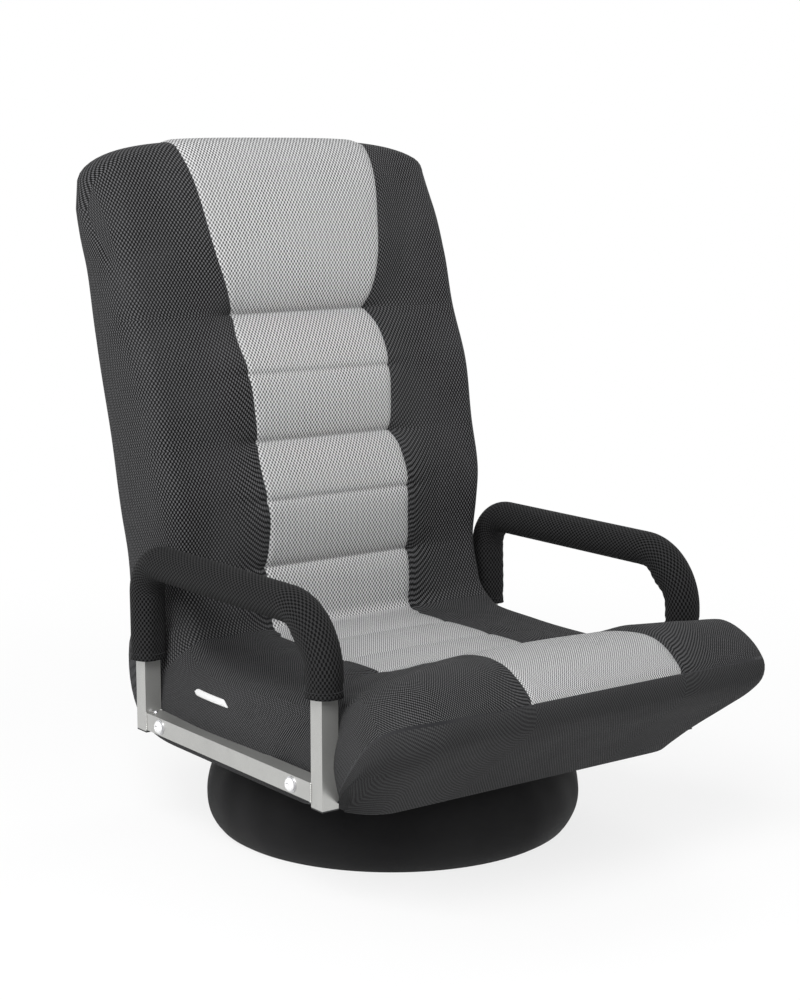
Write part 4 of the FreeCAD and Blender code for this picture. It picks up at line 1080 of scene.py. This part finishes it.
# Armrest sizes in metres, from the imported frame's tubes and sleeves.
ARM_X = 0.2475
ARM_FRONT_Y = -0.220
ARM_REAR_Y = 0.132
ARM_TOP_Z = 0.313
ARM_FRONT_BEND = 0.062
ARM_REAR_BEND = 0.040
SLEEVE_FRONT_Z = 0.229
SLEEVE_REAR_Z = 0.199
SLEEVE_RADIUS = 0.0196
SLEEVE_HEM = 0.010
SLEEVE_ROWS = (7, 34, 84, 24, 28)
TUBE = 0.020
RAIL_Z = 0.128

# Sewing and wrinkles of the sleeves, in metres along the sleeve from its front or its rear hem.
HEM_STITCHES = 34
HEM_LIP = 0.0006
HEM_LIP_END = 0.004
HEM_PULL = 0.0011
HEM_GROOVE = 0.0022
HEM_TURN = ((0.0045, 0.0006), (0.0065, 0.004))
HEM_WEAVE = (0, 0.004)
STITCH_RINGS = ((0.0, -0.0015), (0.00035, -0.0012), (0.00045, 0.0), (0.00035, 0.0012), (0.0, 0.0015))
STITCH_PROUD = 0.0001
PUCKER = 0.0005
PUCKER_PITCH = 0.013
FRONT_PUCKERS = (0.0, 0.03, 0.10, 0.14)
REAR_PUCKERS = (0.10, 0.17)
BEND_PUSH = 0.0065
BEND_SPAN = (0.035, 0.07, 0.072, 0.107)
SLACK = 0.0004
SLACK_FOLDS = (0.0009, 0.0005)
SLACK_SPAN = (0.02, 0.11)
LENGTH_SEAM = 0.0009
LENGTH_SEAM_ANGLE = 1.15
LENGTH_SEAM_WIDTH = 0.07


class FLOORCHAIR_OT_sleeves(bpy.types.Operator):
    """Make the padded mesh sleeves of both armrests"""

    bl_idname = "floor_chair.sleeves"
    bl_label = "Armrest sleeves"

    ROUND = 48

    def execute(self, context):
        for name, sign in (("left", 1), ("right", -1)):
            finishes = [finish_named("sleeve_mesh")]
            item = one_grid("armrest_sleeve_" + name + "_mesh", *self.sleeve(sign), finishes)
            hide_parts("armrest_sleeve_" + name)
            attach(item, "seat")
        thread = lathe_part("stitch", STITCH_RINGS, 8)
        item = copies("sleeve_hem_stitches", thread, *self.hem_stitches(), finish_named("rear_cloth"))
        dress(item, "seat")
        return {"FINISHED"}

    @staticmethod
    def hem_stitches():
        """Places and turns of the stitches around the four sleeve hems."""
        places, turns = [], []
        for sign in (-1, 1):
            for depth, height in ((ARM_FRONT_Y, SLEEVE_FRONT_Z), (ARM_REAR_Y, SLEEVE_REAR_Z)):
                for angle in np.linspace(0, 2 * np.pi, HEM_STITCHES, endpoint=False):
                    radius = SLEEVE_RADIUS + STITCH_PROUD
                    side = sign * ARM_X + radius * math.cos(angle)
                    places.append((side, depth + radius * math.sin(angle), height + 0.7 * SLEEVE_HEM))
                    turns.append((0.0, math.pi / 2, angle + math.pi / 2))
        return places, turns

    def path(self):
        """Points along the tube from the front hem to the rear hem, each with its outward direction."""
        rows = []
        front, front_bend, top, rear_bend, rear = SLEEVE_ROWS
        for height in np.linspace(SLEEVE_FRONT_Z, ARM_TOP_Z - ARM_FRONT_BEND, front)[:-1]:
            rows.append(((ARM_FRONT_Y, height), (-1.0, 0.0)))
        centre = (ARM_FRONT_Y + ARM_FRONT_BEND, ARM_TOP_Z - ARM_FRONT_BEND)
        rows += self.turn(centre, ARM_FRONT_BEND, 180, 90, front_bend)
        for depth in np.linspace(centre[0], ARM_REAR_Y - ARM_REAR_BEND, top)[1:-1]:
            rows.append(((depth, ARM_TOP_Z), (0.0, 1.0)))
        centre = (ARM_REAR_Y - ARM_REAR_BEND, ARM_TOP_Z - ARM_REAR_BEND)
        rows += self.turn(centre, ARM_REAR_BEND, 90, 0, rear_bend)
        for height in np.linspace(centre[1], SLEEVE_REAR_Z, rear)[1:]:
            rows.append(((ARM_REAR_Y, height), (1.0, 0.0)))
        return rows

    @staticmethod
    def turn(centre, radius, start, end, count):
        """Rows around one bend of the tube."""
        rows = []
        for angle in np.radians(np.linspace(start, end, count)):
            out = (math.cos(angle), math.sin(angle))
            rows.append(((centre[0] + radius * out[0], centre[1] + radius * out[1]), out))
        return rows

    def sleeve(self, sign):
        """The sleeve's grid of points and its weave coordinates."""
        rows = self.path()
        run = run_lengths(np.array([place for place, _ in rows]))
        angles = np.linspace(0, 2 * np.pi, self.ROUND + 1)
        points, weave = [], []
        for (place, out), reach in zip(rows, run):
            radius = self.radius(reach, run[-1] - reach, angles)
            points.append(self.ring(place, out, radius, angles, sign))
            weave.append(np.column_stack([angles * SLEEVE_RADIUS, np.full(len(angles), reach)]))
        for inset, lift in HEM_TURN:
            first, last = (
                self.ring((depth, height + lift), out, SLEEVE_RADIUS - inset, angles, sign)
                for (depth, height), out in (rows[0], rows[-1])
            )
            points = [first, *points, last]
            weave = [weave[0] - HEM_WEAVE, *weave, weave[-1] + HEM_WEAVE]
        return points, weave

    @staticmethod
    def radius(reach, left, angles):
        """Radius around one ring: hems at both ends, puckers inside the bends, a slack fall at the rear."""
        inner = np.clip(-np.cos(angles), 0, 1)
        radius = np.full(len(angles), SLEEVE_RADIUS)
        for hem in (reach, left):
            radius += HEM_LIP * (1 - smooth_step(0.0, HEM_LIP_END, hem))
            radius -= HEM_PULL * np.exp(-(((hem - SLEEVE_HEM) / HEM_GROOVE) ** 2))
        front = hump(*FRONT_PUCKERS, reach)
        rear = 1 - smooth_step(*REAR_PUCKERS, left)
        radius += (front + 0.8 * rear) * inner**1.5 * PUCKER * np.sin(reach * 2 * np.pi / PUCKER_PITCH)
        radius += hump(*BEND_SPAN, reach) * BEND_PUSH * inner**2
        wide, narrow = SLACK_FOLDS
        fall = SLACK + wide * np.sin(3 * angles + 0.7) + narrow * np.sin(5 * angles + 14 * reach)
        radius += fall * (1 - smooth_step(*SLACK_SPAN, left))
        return radius - LENGTH_SEAM * np.exp(-(((angles - LENGTH_SEAM_ANGLE) / LENGTH_SEAM_WIDTH) ** 2))

    @staticmethod
    def ring(place, out, radius, angles, sign):
        """One ring of points around the tube."""
        side = sign * ARM_X + radius * np.sin(angles) * sign
        away = radius * np.cos(angles)
        return np.column_stack([side, place[0] + away * out[0], place[1] + away * out[1]])


# Base cover profile as radius and height, from the hem on the floor pad to the edge under the swivel.
BASE_PROFILE = (
    (0.1990, 0.0032), (0.2030, 0.0018), (0.2062, 0.0050), (0.2130, 0.0160), (0.2170, 0.0340),
    (0.2148, 0.0530), (0.2080, 0.0715), (0.1985, 0.0855), (0.1880, 0.0936), (0.1740, 0.0973),
    (0.1500, 0.0980), (0.1190, 0.0980),
)
BASE_RINGS = 64
BASE_SEAM_AT = 0.112
BASE_SEAM_DEPTH = 0.0010
BASE_SEAM_HALF = 0.0030
BASE_SLACK = 0.0010
BASE_FOLDS = (0.0007, 0.0005)
BASE_WEAVE_RADIUS = 0.2


class FLOORCHAIR_OT_base(bpy.types.Operator):
    """Make the cloth cover of the round base"""

    bl_idname = "floor_chair.base"
    bl_label = "Base cover"

    ROUND = 180

    def execute(self, context):
        profile = along(BASE_PROFILE, BASE_RINGS)
        run = run_lengths(profile)
        wide, narrow = BASE_FOLDS
        angles = np.linspace(0, 2 * np.pi, self.ROUND + 1)
        points, weave = [], []
        for (radius, height), reach in zip(profile, run):
            loose = math.sin(math.pi * min(1.0, reach / run[-1]))
            fold = wide * np.sin(9 * angles + 0.4) + narrow * np.sin(23 * angles + 30 * reach)
            seam = BASE_SEAM_DEPTH * math.exp(-(((reach - BASE_SEAM_AT) / BASE_SEAM_HALF) ** 2))
            points.append(turned_ring(radius - seam + loose * (fold - BASE_SLACK), angles, height))
            weave.append(np.column_stack([angles * BASE_WEAVE_RADIUS, np.full(len(angles), reach)]))
        item = one_grid("base_cover_cloth", points, weave, [finish_named("base_cloth")])
        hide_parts("base_cover")
        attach(item, "base")
        return {"FINISHED"}


# Fastener places in metres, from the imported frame.
BOLT_DEPTHS = (0.091, -0.174)
BOLT_FACE = 0.259
BOLT_RADIUS = 0.0070
SOCKET_FLAT = 0.0026
# How far from the bolt's axis the socket is painted dark: painted shade in the recess.
SOCKET_SHADE_REACH = 1.05 * SOCKET_FLAT
WELD_STEPS = 9
WELD_REACH = 0.0092
WELD_TILT = 0.25
WELD_PROUD = 0.0002
WELD_AHEAD = 0.0006
BEAD_RINGS = ((0.0, -0.0011), (0.0014, -0.0007), (0.0017, 0.0), (0.0014, 0.0007), (0.0, 0.0011))
DOT_RINGS = ((0.0029, -0.0004), (0.0027, 0.0007), (0.0019, 0.0015), (0.0008, 0.0019), (0.0, 0.0020))
DOT_FROM_POST = 0.015


class FLOORCHAIR_OT_steel(bpy.types.Operator):
    """Finish the armrest tubes: socket bolt heads, weld beads and zinc dots on the rails"""

    bl_idname = "floor_chair.steel"
    bl_label = "Armrest steel"

    def execute(self, context):
        item = copies("armrest_bolt_heads", self.bolt_head(), *self.bolt_places(), finish_named("zinc"))
        # Each socket's walls and floor take the dark frame paint, as painted shade in the recess.
        item.data.materials.append(finish_named("frame_paint"))
        for face in item.data.polygons:
            face.use_smooth = True
            aside = min(math.hypot(face.center.y - depth, face.center.z - RAIL_Z) for depth in BOLT_DEPTHS)
            face.material_index = int(aside < SOCKET_SHADE_REACH)
        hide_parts("armrest_bolts")
        dress(item, "seat")
        bead = lathe_part("bead", BEAD_RINGS, 12)
        item = copies("armrest_weld_beads", bead, *self.weld_places(), finish_named("arm_paint"))
        dress(item, "seat")
        dot = lathe_part("dot", DOT_RINGS, 24)
        places = [(sign * ARM_X, ARM_REAR_Y - DOT_FROM_POST, RAIL_Z + TUBE / 2) for sign in (-1, 1)]
        item = copies("armrest_rail_dots", dot, places, [(0.0, 0.0, 0.0)] * 2, finish_named("zinc"))
        dress(item, "seat")
        return {"FINISHED"}

    @staticmethod
    def bolt_head():
        """A button head with a hexagon socket."""

        def hexagon(angles):
            return SOCKET_FLAT / np.cos((angles + np.pi / 6) % (np.pi / 3) - np.pi / 6)

        rings = (
            (BOLT_RADIUS, 0.0),
            (BOLT_RADIUS, 0.0010),
            (0.93 * BOLT_RADIUS, 0.0022),
            (0.78 * BOLT_RADIUS, 0.0032),
            (0.58 * BOLT_RADIUS, 0.0037),
            (lambda angles: 1.12 * hexagon(angles), 0.0039),
            (hexagon, 0.0037),
            (hexagon, 0.0014),
            (0.0, 0.0010),
        )
        return lathe_part("bolt_head", rings)

    @staticmethod
    def bolt_places():
        """Places of the four heads and the angles that turn each outwards."""
        places, turns = [], []
        for sign in (-1, 1):
            for depth in BOLT_DEPTHS:
                places.append((sign * BOLT_FACE, depth, RAIL_Z))
                turns.append((0.0, sign * math.pi / 2, 0.0))
        return places, turns

    @staticmethod
    def weld_places():
        """Places of the beads up the joints between rail and posts, inside and outside."""
        places, turns = [], []
        for sign in (-1, 1):
            for post, toward in ((ARM_FRONT_Y, 1), (ARM_REAR_Y, -1)):
                for face in (-1, 1):
                    for height in np.linspace(-WELD_REACH, WELD_REACH, WELD_STEPS):
                        side = sign * ARM_X + face * (TUBE / 2 + WELD_PROUD)
                        places.append((side, post + toward * (TUBE / 2 + WELD_AHEAD), RAIL_Z + height))
                        turns.append((WELD_TILT, math.pi / 2, 0.0))
        return places, turns


# Finishes of the frame's own parts by name, and the words in a name that mean zinc plate.
FRAME_FINISHES = {
    "arm_paint": ("armrest_hoop_left", "armrest_hoop_right", "armrest_rail_left", "armrest_rail_right"),
    "plug_plastic": ("armrest_plugs", "armrest_spacers", "swivel_ball_cage"),
    "floor_pad_rubber": ("base_floor_pad",),
}
ZINC_WORDS = (
    "washers", "nuts", "bolts", "balls", "rivet", "pin", "spring", "swivel_lower", "swivel_upper", "pawl",
)


class FLOORCHAIR_OT_frame(bpy.types.Operator):
    """Give every frame part that stays its finish"""

    bl_idname = "floor_chair.frame"
    bl_label = "Frame finishes"

    def execute(self, context):
        for name, node in frame["nodes"].items():
            node.data.materials.clear()
            node.data.materials.append(finish_named(self.finish_for(name)))
        return {"FINISHED"}

    @staticmethod
    def finish_for(name):
        """Which finish a frame part has."""
        for finish, names in FRAME_FINISHES.items():
            if name in names:
                return finish
        if "strap" in name:
            return "webbing"
        if any(word in name for word in ZINC_WORDS):
            return "zinc"
        return "frame_paint"


# Tab sizes in metres: rounded at its rear end, cut at a slant at its front end, crowned across its width.
TAB_SPAN = (0.047, -0.024)
TAB_Z = 0.176
TAB_HALF = 0.0034
TAB_THICK = 0.0012
TAB_ROUND_SHARE = 0.08
TAB_SLANT = 1.8
TAB_SLANT_SHARE = 0.14
TAB_CROWN = 2.4
TAB_COLUMNS = 33
TAB_ROWS = 9
OUTSIDE_X = -0.5


class FLOORCHAIR_OT_tab(bpy.types.Operator):
    """Make the blank cloth tab sewn to the right side of the seat"""

    bl_idname = "floor_chair.tab"
    bl_label = "Side tab"

    def execute(self, context):
        share = np.linspace(0, 1, TAB_COLUMNS)
        high = TAB_HALF * np.minimum(1, np.sqrt(share / TAB_ROUND_SHARE))
        low = -high
        high = high - TAB_SLANT * TAB_HALF * np.clip(1 - (1 - share) / TAB_SLANT_SHARE, 0, 1)
        depth = TAB_SPAN[0] + (TAB_SPAN[1] - TAB_SPAN[0]) * share
        cover = bpy.data.objects["cushion_cover"]
        rows = []
        for across in np.linspace(0, 1, TAB_ROWS):
            line = []
            for place, height in zip(depth, TAB_Z + low + across * (high - low)):
                found, spot, _, _ = cover.ray_cast((OUTSIDE_X, place, height), (1, 0, 0))
                if not found:
                    raise RuntimeError("the side tab misses the cover")
                line.append((spot.x - TAB_THICK * (1 + TAB_CROWN * across * (1 - across)), place, height))
            rows.append(line)
        outer = np.array(rows)
        inner = outer + (2 * TAB_THICK, 0, 0)
        faces = [outer, inner]
        for edge in (0, -1):
            faces += [np.stack([outer[edge], inner[edge]]), np.stack([outer[:, edge], inner[:, edge]])]
        maker = MeshMaker()
        for face in faces:
            maker.grid(face, face[:, :, 1:], 0)
        item = maker.finish("side_tab", [finish_named("tab_cloth")])
        dress(item, "seat")
        return {"FINISHED"}


# Camera, lights and floor in metres. The floor's glow rises over two distances from one share to another.
CAMERA_PLACE = (-1.40417, -1.90025, 0.77611)
CAMERA_FACING = (0.58874, 0.79063, -0.16818)
CAMERA_LENS = 75.6
CAMERA_SENSOR = 36.0
SKY_LEAN = (0.45, 0.0, 0.9)
SKY_WEAKEST = 0.4
SKY_COLOUR = (0.98, 0.99, 1.0, 1.0)
WHITE = (1.0, 1.0, 1.0, 1.0)
KEY_PLACE = (-1.7, -1.3, 2.2)
KEY_SIZE = 1.6
RIM_PLACE = (1.6, 0.6, 1.9)
RIM_SIZE = 1.2
LIGHT_AIM = (0, 0, 0.3)
FLOOR_REACH = 8.0
FLOOR_GLOW = (0.35, 1.5, 0.80, 1.0)


class FLOORCHAIR_OT_stage(bpy.types.Operator):
    """Make the studio floor, light and camera"""

    bl_idname = "floor_chair.stage"
    bl_label = "Studio"

    def execute(self, context):
        scene = context.scene
        settings = scene.floor_chair.stage
        self.floor()
        self.sky(scene, settings.sky)
        self.lamp("key_light", KEY_PLACE, KEY_SIZE, settings.key)
        self.lamp("rim_light", RIM_PLACE, RIM_SIZE, settings.rim)
        camera = bpy.data.cameras.new("photo_view")
        camera.sensor_fit = "VERTICAL"
        camera.sensor_height = CAMERA_SENSOR
        camera.lens = CAMERA_LENS
        item = bpy.data.objects.new("photo_view", camera)
        item.location = CAMERA_PLACE
        item.rotation_euler = Vector(CAMERA_FACING).to_track_quat("-Z", "Y").to_euler()
        scene.collection.objects.link(item)
        scene.camera = item
        scene.view_settings.view_transform = "Standard"
        return {"FINISHED"}

    @staticmethod
    def floor():
        """A pale floor with a faint grain, which fades into plain white away from the chair."""
        graph = new_graph("studio_floor")
        cloud = graph.noise(3.0, 3.0)
        colour = graph.mix(cloud, rgba(WHITE, 0.90), rgba(WHITE, 0.93))
        graph.bump(graph.noise(220.0), 0.05, 0.0005)
        material = graph.finish(colour, cloud.step(0.2, 0.8, 0.6, 0.7), {"Specular IOR Level": 0.2})
        distance = graph.value("ShaderNodeVectorMath", "Value", {0: graph.place()}, operation="LENGTH")
        glow = graph.value("ShaderNodeEmission", "Emission", {"Color": WHITE, "Strength": 1.0})
        graph.show(distance.step(*FLOOR_GLOW), graph.shaded(), glow)
        span = np.linspace(-FLOOR_REACH, FLOOR_REACH, 9)
        across, away = np.meshgrid(span, span)
        grid = np.stack([across, away, np.zeros_like(across)], axis=2)
        one_grid("studio_floor", grid, grid[:, :, :2], [material])

    @staticmethod
    def sky(scene, strength):
        """Soft light all around, weaker overhead and at the chair's left. It is seen as plain white."""
        world = bpy.data.worlds.new("studio_sky")
        graph = Graph(world)
        facing = graph.value("ShaderNodeTexCoord", "Generated")
        inputs = {0: facing, 1: SKY_LEAN}
        lean = graph.value("ShaderNodeVectorMath", "Value", inputs, operation="DOT_PRODUCT")
        fade = lean.step(-SKY_LEAN[0], 1.0, strength, SKY_WEAKEST * strength, "LINEAR")
        even = graph.value("ShaderNodeBackground", "Background", {"Color": SKY_COLOUR, "Strength": fade})
        graph.feed(graph.shader.inputs["Color"], WHITE)
        graph.feed(graph.shader.inputs["Strength"], 1.0)
        seen = graph.value("ShaderNodeLightPath", "Is Camera Ray")
        for kind in ("Is Glossy Ray", "Is Transmission Ray"):
            seen = seen.math("MAXIMUM", graph.value("ShaderNodeLightPath", kind))
        graph.show(seen, even, graph.shaded())
        scene.world = world

    @staticmethod
    def lamp(name, place, size, power):
        """A large soft light aimed at the chair."""
        light = bpy.data.lights.new(name, "AREA")
        light.size = size
        light.energy = power
        item = bpy.data.objects.new(name, light)
        item.location = place
        item.rotation_euler = (Vector(LIGHT_AIM) - Vector(place)).to_track_quat("-Z", "Y").to_euler()
        bpy.context.scene.collection.objects.link(item)


OPERATORS = (
    FLOORCHAIR_OT_frame,
    FLOORCHAIR_OT_cover,
    FLOORCHAIR_OT_sleeves,
    FLOORCHAIR_OT_base,
    FLOORCHAIR_OT_steel,
    FLOORCHAIR_OT_tab,
    FLOORCHAIR_OT_stage,
)


class FLOORCHAIR_PT_dressing(bpy.types.Panel):
    """Settings and steps of the dressing"""

    bl_idname = "FLOORCHAIR_PT_dressing"
    bl_label = "Floor chair"
    bl_space_type = "VIEW_3D"
    bl_region_type = "UI"
    bl_category = "Floor chair"

    def draw(self, context):
        settings = context.scene.floor_chair
        for group in (settings.cover, settings.finish, settings.stage):
            box = self.layout.box()
            for name in group.__annotations__:
                box.prop(group, name)
        for operator in OPERATORS:
            self.layout.operator(operator.bl_idname)


CLASSES = (
    FloorChairCover,
    FloorChairFinish,
    FloorChairStage,
    FloorChairSettings,
    *OPERATORS,
    FLOORCHAIR_PT_dressing,
)


def register():
    """Add the dressing to Blender."""
    for item in CLASSES:
        bpy.utils.register_class(item)
    bpy.types.Scene.floor_chair = bpy.props.PointerProperty(type=FloorChairSettings)


def unregister():
    """Take the dressing out of Blender again."""
    del bpy.types.Scene.floor_chair
    for item in reversed(CLASSES):
        bpy.utils.unregister_class(item)


def main():
    """Dress the chair."""
    register()
    for operator in OPERATORS:
        group, name = operator.bl_idname.split(".")
        if getattr(getattr(bpy.ops, group), name)() != {"FINISHED"}:
            raise RuntimeError(operator.bl_label + " did not finish")


if __name__ == "__main__":
    main()
